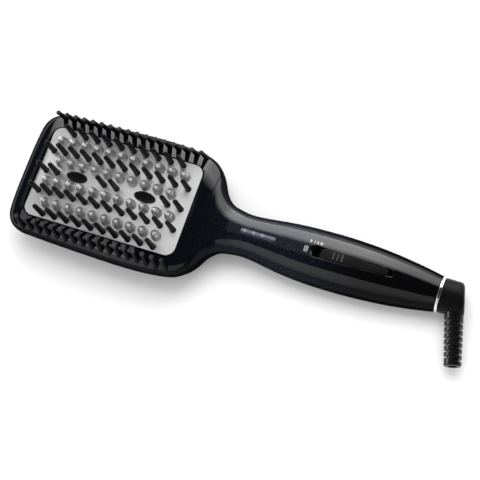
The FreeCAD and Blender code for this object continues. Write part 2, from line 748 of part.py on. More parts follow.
def handle_front_shell(outer, front_shell):
    """Front of the handle, with window, lamp hole, long slot and screw bosses."""
    shell = front_shell.common(box(SEAM_X + SEAM_GAP / 2, TALL + TAIL_X, -TALL, TALL, -TALL, TALL))
    bosses = [rod(x, y, HANDLE_BOSS_RADIUS, handle_seat(x, y)[1], TALL) for x, y in HANDLE_SCREWS]
    bosses += [rod(x, 0, LED_PEG_RADIUS, LED_BOARD_TOP_Z, TALL) for x in led_peg_places()]
    shell = fuse_all(shell, [boss.common(outer) for boss in bosses])
    cuts = [
        prism(window_outline(FIT_GAP), WINDOW_BASE_Z, TALL),
        centred_box(LAMP_X, 0, LAMP_LENGTH + 2 * FIT_GAP, LAMP_WIDTH + 2 * FIT_GAP, BOARD_TOP_Z, TALL),
        prism(slot_outline(0.0), BUTTON_BASE_Z, TALL),
    ]
    for x, y in HANDLE_SCREWS:
        joint = handle_seat(x, y)[1]
        cuts.append(rod(x, y, SCREW_RADIUS + JOURNAL_GAP, 0, joint + SCREW_BITE))
    return cut_all(shell, cuts)


def head_seat():
    """Height of the head screws' head seat in the rear shell."""
    return back_height(EAR_X, EAR_Y + SCREW_HEAD_RADIUS) + POST_FLOOR


def board_post_places():
    """Places of the four posts that carry the control board."""
    xs = (BOARD_HEAD_X + BOARD_POST_INSET, BOARD_TAIL_X - BOARD_POST_INSET)
    return [(x, side * BOARD_POST_Y) for x in xs for side in (-1, 1)]


def rear_shell(outer, back_shell):
    """Back of head and handle, with screw posts, board posts and a pad for the ion generator."""
    posts = [rod(x, y, POST_RADIUS, 0, TRAY_BASE_Z) for x, y in ear_places()]
    posts += [rod(x, y, POST_RADIUS, 0, handle_seat(x, y)[1]) for x, y in HANDLE_SCREWS]
    posts += [rod(x, y, BOARD_POST_RADIUS, 0, BOARD_Z) for x, y in board_post_places()]
    posts.append(centred_box(0, 0, GENERATOR_LENGTH, GENERATOR_WIDTH, 0, GENERATOR_Z))
    shell = fuse_all(back_shell, [post.common(outer) for post in posts])
    cuts = []
    seats = [(x, y, head_seat()) for x, y in ear_places()]
    seats += [(x, y, handle_seat(x, y)[0]) for x, y in HANDLE_SCREWS]
    for x, y, seat in seats:
        cuts.append(rod(x, y, SCREW_HEAD_RADIUS + RUN_GAP, -TALL, seat))
        cuts.append(rod(x, y, SCREW_RADIUS + JOURNAL_GAP, 0, TALL))
    return cut_all(shell, cuts)


def screw(x, y, seat, tip):
    """A screw with a cross recess, driven up from the seat to the tip."""
    bottom = seat - SCREW_HEAD_HEIGHT
    body = rod(x, y, SCREW_HEAD_RADIUS, bottom, seat).fuse(rod(x, y, SCREW_RADIUS, seat, tip))
    recess = [
        centred_box(x, y, RECESS_LENGTH, RECESS_WIDTH, bottom, bottom + RECESS_DEPTH),
        centred_box(x, y, RECESS_WIDTH, RECESS_LENGTH, bottom, bottom + RECESS_DEPTH),
    ]
    return cut_all(body.removeSplitter(), recess)


def head_screws():
    """Four screws from the back through the tray's ears into the frame."""
    tip = EAR_TOP_Z + SCREW_BITE - SCREW_TIP_GAP
    return [screw(x, y, head_seat(), tip) for x, y in ear_places()]


def plate_screws():
    """Four screws from below the tray into the heater plate's bosses."""
    tip = CLAMP_BASE_Z + SCREW_BITE - SCREW_TIP_GAP
    return [screw(x, y, TRAY_CEILING_Z, tip) for x, y in plate_boss_places()]


def handle_screws():
    """Four screws from the back of the handle into its front shell."""
    screws = []
    for x, y in HANDLE_SCREWS:
        seat, joint = handle_seat(x, y)
        screws.append(screw(x, y, seat, joint + SCREW_BITE - SCREW_TIP_GAP))
    return screws


def heater_tray():
    """Heat-proof tray under the heater stack, hollow below, with four ears for the head screws."""
    inner_length = STACK_LENGTH - 2 * TRAY_RIM
    inner_width = STACK_WIDTH - 2 * TRAY_RIM
    tray = centred_box(0, 0, STACK_LENGTH, STACK_WIDTH, TRAY_BASE_Z, CLAMP_BASE_Z)
    tray = tray.cut(centred_box(0, 0, inner_length, inner_width, 0, TRAY_CEILING_Z))
    ears = []
    for x, y in ear_places():
        side = math.copysign(1, y)
        root, end = sorted((side * (STACK_WIDTH / 2 - TRAY_RIM), y))
        ears.append(rod(x, y, EAR_RADIUS, TRAY_BASE_Z, EAR_TOP_Z))
        ears.append(box(x - EAR_RADIUS, x + EAR_RADIUS, root, end, TRAY_BASE_Z, EAR_TOP_Z))
    tray = fuse_all(tray, ears)
    places = ear_places() + plate_boss_places()
    holes = [rod(x, y, SCREW_RADIUS + JOURNAL_GAP, 0, TALL) for x, y in places]
    holes += [rod(side * OUTLET_X, 0, LEAD_RADIUS + FIT_GAP, 0, TALL) for side in (-1, 1)]
    return cut_all(tray, holes)


def stack_sheet(z0, z1):
    """A sheet of the heater stack, with holes for the plate's bosses and the ion needles."""
    sheet = centred_box(0, 0, STACK_LENGTH, STACK_WIDTH, z0, z1)
    holes = [rod(x, y, PLATE_BOSS_RADIUS + RUN_GAP, 0, TALL) for x, y in plate_boss_places()]
    holes += [rod(side * OUTLET_X, 0, NEEDLE_FOOT_RADIUS + FIT_GAP, 0, TALL) for side in (-1, 1)]
    return cut_all(sheet, holes)


def ion_needle(side):
    """A pointed needle on a round foot, under an outlet."""
    x = side * OUTLET_X
    foot = rod(x, 0, NEEDLE_FOOT_RADIUS, CLAMP_BASE_Z, CLAMP_BASE_Z + NEEDLE_FOOT_HEIGHT)
    shank = Part.makeCone(NEEDLE_RADIUS, 0.0, NEEDLE_TIP_Z - CLAMP_BASE_Z, Vector(x, 0, CLAMP_BASE_Z))
    return foot.fuse(shank).removeSplitter()


def ceramic_heater(side):
    """A flat heater bar under the plate."""
    return centred_box(0, side * HEATER_Y, HEATER_LENGTH, HEATER_WIDTH, STRIP_BASE_Z, PLATE_BASE_Z)


def thermistor():
    """Temperature sensor against the underside of the plate."""
    foot = PLATE_BASE_Z - SENSOR_HEIGHT
    return centred_box(0, PLATE_BOSS_Y, SENSOR_LENGTH, SENSOR_WIDTH, foot, PLATE_BASE_Z)


def thermal_fuse():
    """Safety fuse lying against the underside of the plate."""
    return along(FUSE_RADIUS, -FUSE_LENGTH / 2, FUSE_LENGTH / 2, -PLATE_BOSS_Y, PLATE_BASE_Z - FUSE_RADIUS)


def ion_generator():
    """High-voltage block on the floor of the head."""
    return centred_box(0, 0, GENERATOR_LENGTH, GENERATOR_WIDTH, GENERATOR_Z, GENERATOR_Z + GENERATOR_HEIGHT)


def control_board():
    """Board on the posts of the rear shell."""
    return box(BOARD_HEAD_X, BOARD_TAIL_X, -BOARD_WIDTH / 2, BOARD_WIDTH / 2, BOARD_Z, BOARD_TOP_Z)


def relay():
    """Relay at the cord end of the control board."""
    tail = BOARD_TAIL_X - RELAY_TAIL_GAP
    half = RELAY_WIDTH / 2
    return box(tail - RELAY_LENGTH, tail, -half, half, BOARD_TOP_Z, BOARD_TOP_Z + RELAY_HEIGHT)


def capacitor():
    """Upright capacitor at the head end of the control board."""
    return rod(BOARD_HEAD_X + CAPACITOR_INSET, CAPACITOR_Y, CAPACITOR_RADIUS, BOARD_TOP_Z,
               BOARD_TOP_Z + CAPACITOR_HEIGHT)


def switch_housing():
    """Slide switch on the board, with a slot for its lever."""
    middle = LEVER_X - SLIDE_TRAVEL / 2
    top = BOARD_TOP_Z + SWITCH_HEIGHT
    housing = centred_box(middle, 0, SWITCH_LENGTH, SWITCH_WIDTH, BOARD_TOP_Z, top)
    slot_length = SLIDE_TRAVEL + LEVER_LENGTH + 2 * RUN_GAP
    slot_width = LEVER_WIDTH + 2 * RUN_GAP
    return housing.cut(centred_box(middle, 0, slot_length, slot_width, top - LEVER_DEPTH - RUN_GAP, TALL))


def switch_lever():
    """Lever of the slide switch, up to the underside of the button."""
    base = BOARD_TOP_Z + SWITCH_HEIGHT - LEVER_DEPTH
    return centred_box(LEVER_X, 0, LEVER_LENGTH, LEVER_WIDTH, base, BUTTON_BASE_Z)


def slot_radius(x):
    """Half width of the long slot at x."""
    share = (x - SLOT_HEAD_X) / (SLOT_TAIL_X - SLOT_HEAD_X)
    return SLOT_HEAD_RADIUS + share * (SLOT_TAIL_RADIUS - SLOT_HEAD_RADIUS)


def thumb_ribs():
    """Raised ribs set into the slide button."""
    ribs = []
    half = RIB_WIDTH / 2
    for i in range(RIB_COUNT):
        x = BUTTON_HEAD_X + RIB_SETBACK + i * RIB_PITCH
        face = front_height(x, 0.0) + BUTTON_PROUD
        crest = face + RIB_PROUD - half
        foot = centred_box(x, 0, RIB_WIDTH, RIB_LENGTH, face - RIB_SEAT, crest)
        bead = Part.makeCylinder(half, RIB_LENGTH, Vector(x, -RIB_LENGTH / 2, crest), Vector(0, 1, 0))
        ribs.append(foot.fuse(bead).removeSplitter())
    return ribs


def slide_button():
    """Tapered thumb slide in the long slot, with a flange below the shell and pockets for its ribs."""
    head_radius = slot_radius(BUTTON_HEAD_X) - RUN_GAP
    tail_radius = slot_radius(BUTTON_TAIL_X) - RUN_GAP
    outline = taper_outline(BUTTON_HEAD_X, head_radius, BUTTON_TAIL_X, tail_radius)
    surround = body_solid(-BUTTON_PROUD, TAIL_X, NECK_X)
    stem = prism(outline, BUTTON_BASE_Z, TALL).common(surround)
    start = BUTTON_HEAD_X - FLANGE_REACH
    half = FLANGE_HALF_WIDTH
    flange = box(start, start + FLANGE_LENGTH, -half, half, BUTTON_BASE_Z, FLANGE_TOP_Z)
    return cut_all(fuse_all(stem, [flange]), thumb_ribs())


def led_window(outer):
    """Clear bar over the lamps in the neck, flush with the shell."""
    return prism(window_outline(0.0), WINDOW_BASE_Z, TALL).common(outer)


def led_board():
    """Small board under the window, on the pegs of the front shell."""
    base = LED_BOARD_TOP_Z - LED_BOARD_THICKNESS
    return centred_box(WINDOW_X, 0, LED_BOARD_LENGTH, LED_BOARD_WIDTH, base, LED_BOARD_TOP_Z)


def indicator_leds():
    """Lamps on the small board, just under the window."""
    lamps = []
    for i in range(LED_COUNT):
        x = WINDOW_X + (i - (LED_COUNT - 1) / 2) * LED_PITCH
        lamps.append(centred_box(x, 0, LED_SIZE, LED_SIZE, LED_BOARD_TOP_Z, WINDOW_BASE_Z))
    return lamps


def power_lamp(outer):
    """Square light pipe from the control board to the face of the handle."""
    return centred_box(LAMP_X, 0, LAMP_LENGTH, LAMP_WIDTH, BOARD_TOP_Z, TALL).common(outer)


def rounded_end(solid, x, radius, round_size):
    """The solid with its outer edge at x rounded."""
    rim = [edge for edge in solid.Edges if abs(edge.BoundBox.Center.x - x) < FIT_GAP
           and edge.BoundBox.XLength < FIT_GAP and edge.BoundBox.YLength > 2 * radius - FIT_GAP]
    return solid.makeFillet(round_size, rim)


def chrome_ring():
    """Bright ring at the end of the handle."""
    end = TAIL_X + RING_LENGTH
    ring = along(RING_RADIUS, TAIL_X, end)
    ring = rounded_end(ring, TAIL_X, RING_RADIUS, RING_ROUND)
    ring = rounded_end(ring, end, RING_RADIUS, RING_ROUND)
    return ring.cut(along(JOURNAL_RADIUS + RUN_GAP, TAIL_X, end))


def beyond_cap(margin):
    """All that lies past the slanted end of the swivel cap, moved out by the margin."""
    block = box(margin, TALL, -TALL, TALL, -TALL, TALL)
    turn = FreeCAD.Rotation(Vector(0, 0, 1), RELIEF_LEAN)
    block.Placement = FreeCAD.Placement(Vector(CAP_START_X + CAP_LENGTH, 0, 0), turn)
    return block


def cap_envelope(margin):
    """Outside of the swivel cap, grown by the margin."""
    solid = along(CAP_RADIUS + margin, CAP_START_X, CAP_START_X + 2 * CAP_LENGTH).cut(beyond_cap(margin))
    rim = [edge for edge in solid.Edges
           if edge.BoundBox.XMin > CAP_START_X + FIT_GAP and edge.BoundBox.ZLength > CAP_RADIUS]
    return solid.makeFillet(CAP_ROUND, rim)


def relief_placed(solid):
    """A solid drawn along Z, turned to stand out of the side of the swivel cap."""
    lean = math.radians(RELIEF_LEAN)
    outward = Vector(math.sin(lean), -math.cos(lean), 0)
    up = Vector(0, 0, 1)
    turn = FreeCAD.Rotation(up.cross(outward), up, outward, "ZYX")
    solid.Placement = FreeCAD.Placement(Vector(CAP_START_X + CAP_HOLE_SETBACK, 0, AXIS_Z), turn)
    return solid


def swivel_cap():
    """End cap that turns with the cord, with a socket for the core and a side hole."""
    cuts = [
        along(JOURNAL_RADIUS + JOURNAL_GAP, CAP_START_X, CAP_SHOULDER_X),
        along(CAP_CAVITY_RADIUS, CAP_START_X, CAP_START_X + CAP_LENGTH).cut(beyond_cap(-CAP_END_WALL)),
        relief_placed(rod(0, 0, RELIEF_PLUG_RADIUS + FIT_GAP, 0, RELIEF_REACH)),
    ]
    return cut_all(cap_envelope(0.0), cuts)


def swivel_core():
    """Hollow shaft of the swivel: slip-ring shaft, flange inside the handle and journal."""
    shaft = along(CORE_SHAFT_RADIUS, CORE_START_X, CORE_FLANGE_X)
    flange = along(FLANGE_RADIUS, CORE_FLANGE_X, CORE_FLANGE_X + FLANGE_THICKNESS)
    journal = along(JOURNAL_RADIUS, CORE_FLANGE_X, CAP_SHOULDER_X)
    return fuse_all(shaft, [flange, journal]).cut(along(CORE_BORE, CORE_START_X, CAP_SHOULDER_X))


def slip_ring_starts():
    """Places along X where the two slip rings start."""
    first = CORE_START_X + SLIP_RING_SETBACK
    return (first, first + SLIP_RING_PITCH)


def slip_rings():
    """Contact rings on the shaft of the core."""
    rings = []
    for x in slip_ring_starts():
        ring = along(SLIP_RING_RADIUS, x, x + SLIP_RING_LENGTH)
        rings.append(ring.cut(along(CORE_SHAFT_RADIUS, x, x + SLIP_RING_LENGTH)))
    return rings


def brush_contacts():
    """Contact pads under the slip rings."""
    middles = [x + SLIP_RING_LENGTH / 2 for x in slip_ring_starts()]
    return [centred_box(x, 0, BRUSH_LENGTH, BRUSH_WIDTH, BRUSH_BASE_Z, BRUSH_TOP_Z) for x in middles]


def brush_holder(inner):
    """Block on the floor of the handle that carries the contact pads."""
    end = slip_ring_starts()[-1] + SLIP_RING_LENGTH + HOLDER_MARGIN
    block = box(HOLDER_START_X, end, -HOLDER_WIDTH / 2, HOLDER_WIDTH / 2, 0, BRUSH_BASE_Z)
    return block.common(inner)


def relief_slots():
    """Staggered half-round slots on both sides of the strain relief's spine."""
    core = rod(0, 0, RELIEF_BORE + RELIEF_CORE_WALL, 0, RELIEF_REACH)
    slots = []
    for side in (-1, 1):
        for i in range(RELIEF_SLOTS):
            z = RELIEF_SLOT_START + i * RELIEF_SLOT_PITCH + side * RELIEF_SLOT_PITCH / 4
            near, far = sorted((side * RELIEF_SPINE, side * TALL))
            slots.append(box(near, far, -TALL, TALL, z, z + RELIEF_SLOT_WIDTH).cut(core))
    return slots


def strain_relief():
    """Ribbed rubber sleeve for the cord, plugged into the side of the swivel cap."""
    sleeve = Part.makeCone(RELIEF_ROOT_RADIUS, RELIEF_TIP_RADIUS, RELIEF_REACH)
    rings = [edge for edge in sleeve.Edges if edge.BoundBox.ZLength < FIT_GAP]
    tip = [edge for edge in rings if edge.BoundBox.ZMin > RELIEF_REACH / 2]
    sleeve = cut_all(sleeve.makeFillet(RELIEF_ROUND, tip), relief_slots())
    plug = rod(0, 0, RELIEF_PLUG_RADIUS, CAP_RADIUS - RELIEF_PLUG_DEPTH, CAP_RADIUS + RELIEF_PLUG_DEPTH / 2)
    bore = rod(0, 0, RELIEF_BORE, 0, RELIEF_REACH)
    outside = relief_placed(sleeve).cut(cap_envelope(RELIEF_SHY))
    return fuse_all(outside, [relief_placed(plug)]).cut(relief_placed(bore))


def heater_wire(y):
    """A wire from the control board to the end of a heater bar."""
    heater_z = (STRIP_BASE_Z + PLATE_BASE_Z) / 2
    route = (
        (BOARD_HEAD_X, y, MID_WIRE_Z),
        (BOARD_HEAD_X - BOARD_WIRE_REACH, y, MID_WIRE_Z),
        (NECK_X, y, NECK_WIRE_Z),
        (SHOULDER_WIRE_X, y, SHOULDER_WIRE_Z),
        (RISER_X, y, RISER_FOOT_Z),
        (RISER_X, y, heater_z),
        (HEATER_LENGTH / 2, y, heater_z),
    )
    return tube(route, WIRE_RADIUS)


def sensor_lead(side, board_y, end_x, end_z):
    """A lead from the control board to the sensor or the fuse under the plate."""
    route = (
        (BOARD_HEAD_X, board_y, MID_WIRE_Z),
        (NECK_X, board_y, NECK_LEAD_Z),
        (FLOOR_LEAD_X, board_y, SENSOR_LEAD_Z),
        (SENSOR_LEAD_X, side * SENSOR_LEAD_Y, SENSOR_LEAD_Z),
        (RISER_X, side * SENSOR_RISER_Y, SENSOR_RISER_FOOT_Z),
        (RISER_X, side * SENSOR_RISER_Y, end_z),
        (SENSOR_BEND_X, side * SENSOR_RISER_Y, end_z),
        (SENSOR_TURN_X, side * PLATE_BOSS_Y, end_z),
        (end_x, side * PLATE_BOSS_Y, end_z),
    )
    return tube(route, LEAD_RADIUS)


def ion_feed_lead():
    """A lead from the control board to the ion generator."""
    route = (
        (BOARD_HEAD_X, -LEAD_STEP, MID_WIRE_Z),
        (NECK_X, -LEAD_STEP, NECK_LEAD_Z),
        (FLOOR_LEAD_X, -LEAD_STEP, FEED_LEAD_Z),
        (GENERATOR_LENGTH / 2, -LEAD_STEP, FEED_LEAD_Z),
    )
    return tube(route, LEAD_RADIUS)


def ion_needle_lead(side):
    """A lead from the ion generator up to a needle."""
    route = (
        (side * GENERATOR_LENGTH / 2, 0, NEEDLE_LEAD_Z),
        (side * OUTLET_X, 0, NEEDLE_LEAD_Z),
        (side * OUTLET_X, 0, CLAMP_BASE_Z),
    )
    return tube(route, LEAD_RADIUS)


def led_lead():
    """A lead from the small board down to the control board."""
    z = LED_BOARD_TOP_Z - LED_BOARD_THICKNESS / 2
    end_x = BOARD_HEAD_X + LED_LEAD_REACH
    route = (
        (WINDOW_X + LED_BOARD_LENGTH / 2, 0, z),
        (end_x, 0, z),
        (end_x, 0, BOARD_TOP_Z),
    )
    return tube(route, LEAD_RADIUS)


def mains_wire(side):
    """A wire from the brush holder to the cord end of the control board."""
    y = side * MAINS_Y
    route = (
        (HOLDER_START_X, y, MAINS_Z),
        (MAINS_FOOT_X, y, MAINS_Z),
        (MAINS_RISE_X, y, MID_WIRE_Z),
        (BOARD_TAIL_X, y, MID_WIRE_Z),
    )
    return tube(route, WIRE_RADIUS)


def shell_parts():
    """The outer body, the room inside it and the nodes cut from them."""
    above_floor = box(-TALL, TALL + TAIL_X, -TALL, TALL, 0, TALL)
    outer = body_solid(0.0, TAIL_X).common(above_floor)
    inner = body_solid(WALL, TAIL_X - END_WALL)
    hollow = outer.cut(inner).cut(along(JOURNAL_RADIUS + JOURNAL_GAP, CORE_FLANGE_X, TAIL_X))
    front = hollow.common(above_parting(0.0))
    back = hollow.cut(above_parting(PARTING_GAP))
    return {
        "head_frame": head_frame(outer, front),
        "handle_front_shell": handle_front_shell(outer, front),
        "rear_shell": rear_shell(outer, back),
        "led_window": led_window(outer),
        "power_lamp": power_lamp(outer),
        "brush_holder": brush_holder(inner),
    }


def head_parts():
    """The nodes of the heated head."""
    nodes = {
        "heater_plate": heater_plate(),
        "mica_sheet": stack_sheet(MICA_BASE_Z, STRIP_BASE_Z),
        "clamp_plate": stack_sheet(CLAMP_BASE_Z, MICA_BASE_Z),
        "heater_tray": heater_tray(),
        "thermistor": thermistor(),
        "thermal_fuse": thermal_fuse(),
        "ion_generator": ion_generator(),
        "head_screws": Part.makeCompound(head_screws()),
        "plate_screws": Part.makeCompound(plate_screws()),
    }
    for number, (row, slots) in enumerate(strip_layout(), 1):
        nodes[f"bristle_strip_{number}"] = bristle_strip(row, slots)
    for number, side in enumerate((-1, 1), 1):
        nodes[f"ion_outlet_{number}"] = ion_outlet(side)
        nodes[f"ion_needle_{number}"] = ion_needle(side)
        nodes[f"ceramic_heater_{number}"] = ceramic_heater(side)
    return nodes


def handle_parts():
    """The nodes inside the handle and its slide switch."""
    return {
        "control_board": control_board(),
        "relay": relay(),
        "capacitor": capacitor(),
        "switch_housing": switch_housing(),
        "switch_lever": switch_lever(),
        "slide_button": slide_button(),
        "thumb_ribs": Part.makeCompound(thumb_ribs()),
        "led_board": led_board(),
        "indicator_leds": Part.makeCompound(indicator_leds()),
        "handle_screws": Part.makeCompound(handle_screws()),
    }


def cord_end_parts():
    """The nodes of the swivelling cord end."""
    return {
        "chrome_ring": chrome_ring(),
        "swivel_cap": swivel_cap(),
        "swivel_core": swivel_core(),
        "slip_rings": Part.makeCompound(slip_rings()),
        "brush_contacts": Part.makeCompound(brush_contacts()),
        "strain_relief": strain_relief(),
    }


def wire_parts():
    """The wires and leads inside."""
    sensor_z = PLATE_BASE_Z - SENSOR_HEIGHT / 2
    nodes = {
        "thermistor_lead": sensor_lead(1, LEAD_STEP, SENSOR_LENGTH / 2, sensor_z),
        "fuse_lead": sensor_lead(-1, 0.0, FUSE_LENGTH / 2, PLATE_BASE_Z - FUSE_RADIUS),
        "ion_feed_lead": ion_feed_lead(),
        "led_lead": led_lead(),
        "mains_wire_live": mains_wire(1),
        "mains_wire_neutral": mains_wire(-1),
    }
    for number, side in enumerate((-1, 1), 1):
        nodes[f"ion_needle_lead_{number}"] = ion_needle_lead(side)
        nodes[f"heater_wire_{number}"] = heater_wire(side * (HEATER_Y - HEATER_LEAD_STEP))
        nodes[f"heater_wire_{number + 2}"] = heater_wire(side * (HEATER_Y + HEATER_LEAD_STEP))
    return nodes


def main():
    """Builds every node and writes it to its own file."""
    os.makedirs("parts", exist_ok=True)
    for group in (shell_parts, head_parts, handle_parts, cord_end_parts, wire_parts):
        for name, shape in group().items():
            shape.exportStep(f"parts/{name}.step")


main()
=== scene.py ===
"""Dresses the heated styling brush: finishes, smooth skins, heat marks, studio and camera."""
import json
import logging
import math
from collections.abc import Iterator
from contextlib import contextmanager
from dataclasses import dataclass, field
from enum import Enum
from typing import ClassVar

import bpy
from mathutils import Matrix, Vector

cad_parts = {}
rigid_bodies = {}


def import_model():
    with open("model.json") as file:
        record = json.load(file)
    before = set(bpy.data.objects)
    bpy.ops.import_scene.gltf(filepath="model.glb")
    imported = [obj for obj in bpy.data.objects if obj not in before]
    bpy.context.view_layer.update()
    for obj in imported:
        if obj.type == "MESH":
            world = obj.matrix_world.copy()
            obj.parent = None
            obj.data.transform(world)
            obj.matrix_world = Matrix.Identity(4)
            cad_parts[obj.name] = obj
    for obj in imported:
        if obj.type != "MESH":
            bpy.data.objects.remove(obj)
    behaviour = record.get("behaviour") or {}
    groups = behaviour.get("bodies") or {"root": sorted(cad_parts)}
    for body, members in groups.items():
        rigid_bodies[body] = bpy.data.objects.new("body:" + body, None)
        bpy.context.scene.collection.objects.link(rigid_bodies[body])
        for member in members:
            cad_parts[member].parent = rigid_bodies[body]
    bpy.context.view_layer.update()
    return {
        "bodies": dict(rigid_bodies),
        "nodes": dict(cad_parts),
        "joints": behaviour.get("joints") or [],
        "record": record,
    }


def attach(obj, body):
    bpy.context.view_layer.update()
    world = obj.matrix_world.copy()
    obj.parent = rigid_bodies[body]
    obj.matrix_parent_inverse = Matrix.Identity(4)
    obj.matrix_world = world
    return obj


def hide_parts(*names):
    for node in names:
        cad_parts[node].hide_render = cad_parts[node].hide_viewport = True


LOG = logging.getLogger("styling_brush")

Colour = tuple[float, float, float]
Point = tuple[float, float, float]
Span = tuple[float, float]
Material = bpy.types.Material
Node = bpy.types.Node
Piece = bpy.types.Object
Socket = bpy.types.NodeSocket
Tree = bpy.types.NodeTree

PLATE = "heater_plate_skin"
RELIEF = "strain_relief_skin"
RISE: Span = (0.0, 1.0)
FALL: Span = (1.0, 0.0)
SOFT_NOISE: Span = (0.3, 0.7)


class Body(Enum):
    """The moving bodies that a piece can ride on."""

    MAIN = "body"
    SLIDER = "slider"
    CORD = "cord_swivel"


class Role(Enum):
    """What a softbox is for."""

    GLOSS = "seen in glossy surfaces"
    KEY = "lights matt surfaces"


class Mark(Enum):
    """The heat marks beside the slot, by their number of bars."""

    OFF = 0
    LOW = 1
    MEDIUM = 2
    HIGH = 3


def grey(level: float) -> Colour:
    """Gives a neutral colour."""
    return (level, level, level)


class Graph:
    """Adds and joins the nodes of one node tree."""

    MAP_INPUTS = ("Value", "From Min", "From Max", "To Min", "To Max")
    MIX_COLOURS = slice(6, 8)
    MIX_RESULT = 2

    def __init__(self, tree: Tree) -> None:
        """Keeps the tree and empties it."""
        self.tree = tree
        tree.nodes.clear()

    def add(self, kind: str, inputs: dict | None = None, **settings: object) -> Node:
        """Adds one node.

        Args:
            kind: The node's type name.
            inputs: Sockets or plain values for its inputs, by name.
            settings: Properties to set on it.

        Returns:
            The new node.
        """
        node = self.tree.nodes.new(kind)
        for key, value in settings.items():
            setattr(node, key, value)
        self.fill(node, inputs or {})
        return node

    def feed(self, socket: Socket, value: object) -> None:
        """Links an input to a socket, or sets it to a plain value.

        Args:
            socket: The input.
            value: The socket or value that it gets.
        """
        if isinstance(value, Socket):
            self.tree.links.new(value, socket)
        else:
            socket.default_value = value

    def fill(self, node: Node, values: dict[str, object]) -> None:
        """Feeds several inputs of a node, by name."""
        for name, value in values.items():
            self.feed(node.inputs[name], value)

    def place(self) -> Socket:
        """Gives the object's own coordinates."""
        return self.add("ShaderNodeTexCoord").outputs["Object"]

    def split(self, vector: Socket) -> bpy.types.bpy_prop_collection:
        """Splits a vector into sockets with the names X, Y and Z."""
        return self.add("ShaderNodeSeparateXYZ", {"Vector": vector}).outputs

    def maths(self, operation: str, *values: object) -> Socket:
        """Adds a Math node.

        Args:
            operation: The operation's name.
            values: Sockets or numbers for its inputs, in order.

        Returns:
            The result's socket.
        """
        node = self.add("ShaderNodeMath", operation=operation)
        for socket, value in zip(node.inputs, values):
            self.feed(socket, value)
        return node.outputs["Value"]

    def spread(self, value: Socket, source: tuple, target: tuple) -> Socket:
        """Maps a value from one range to another, and clamps it."""
        values = dict(zip(self.MAP_INPUTS, (value, *source, *target)))
        return self.add("ShaderNodeMapRange", values, clamp=True).outputs["Result"]

    def tint(self, mask: Socket, first: object, second: object) -> Socket:
        """Adds a colour Mix node.

        Args:
            mask: 0 gives the first colour and 1 the second.
            first: A colour or a colour socket.
            second: A colour or a colour socket.

        Returns:
            The mixed colour's socket.
        """
        node = self.add("ShaderNodeMix", data_type="RGBA")
        self.feed(node.inputs["Factor"], mask)
        for socket, colour in zip(node.inputs[self.MIX_COLOURS], (first, second)):
            self.feed(socket, (*colour, 1.0) if isinstance(colour, tuple) else colour)
        return node.outputs[self.MIX_RESULT]

    def noise(self, where: Socket, scale: object, detail: float = 3.0) -> Socket:
        """Adds a Noise texture, with its scale per metre and its number of octaves."""
        values = {"Vector": where, "Scale": scale, "Detail": detail}
        return self.add("ShaderNodeTexNoise", values).outputs["Fac"]

    def group(self, tree: Tree, **values: float) -> Node:
        """Places a node group and sets its inputs by name."""
        return self.add("ShaderNodeGroup", values, node_tree=tree)

    def bump(self, height: Socket, depth: float, shader: Node) -> None:
        """Bumps a shader's normal by a height in 0 to 1, depth metres deep."""
        node = self.add("ShaderNodeBump", {"Distance": depth, "Height": height})
        self.feed(shader.inputs["Normal"], node.outputs["Normal"])


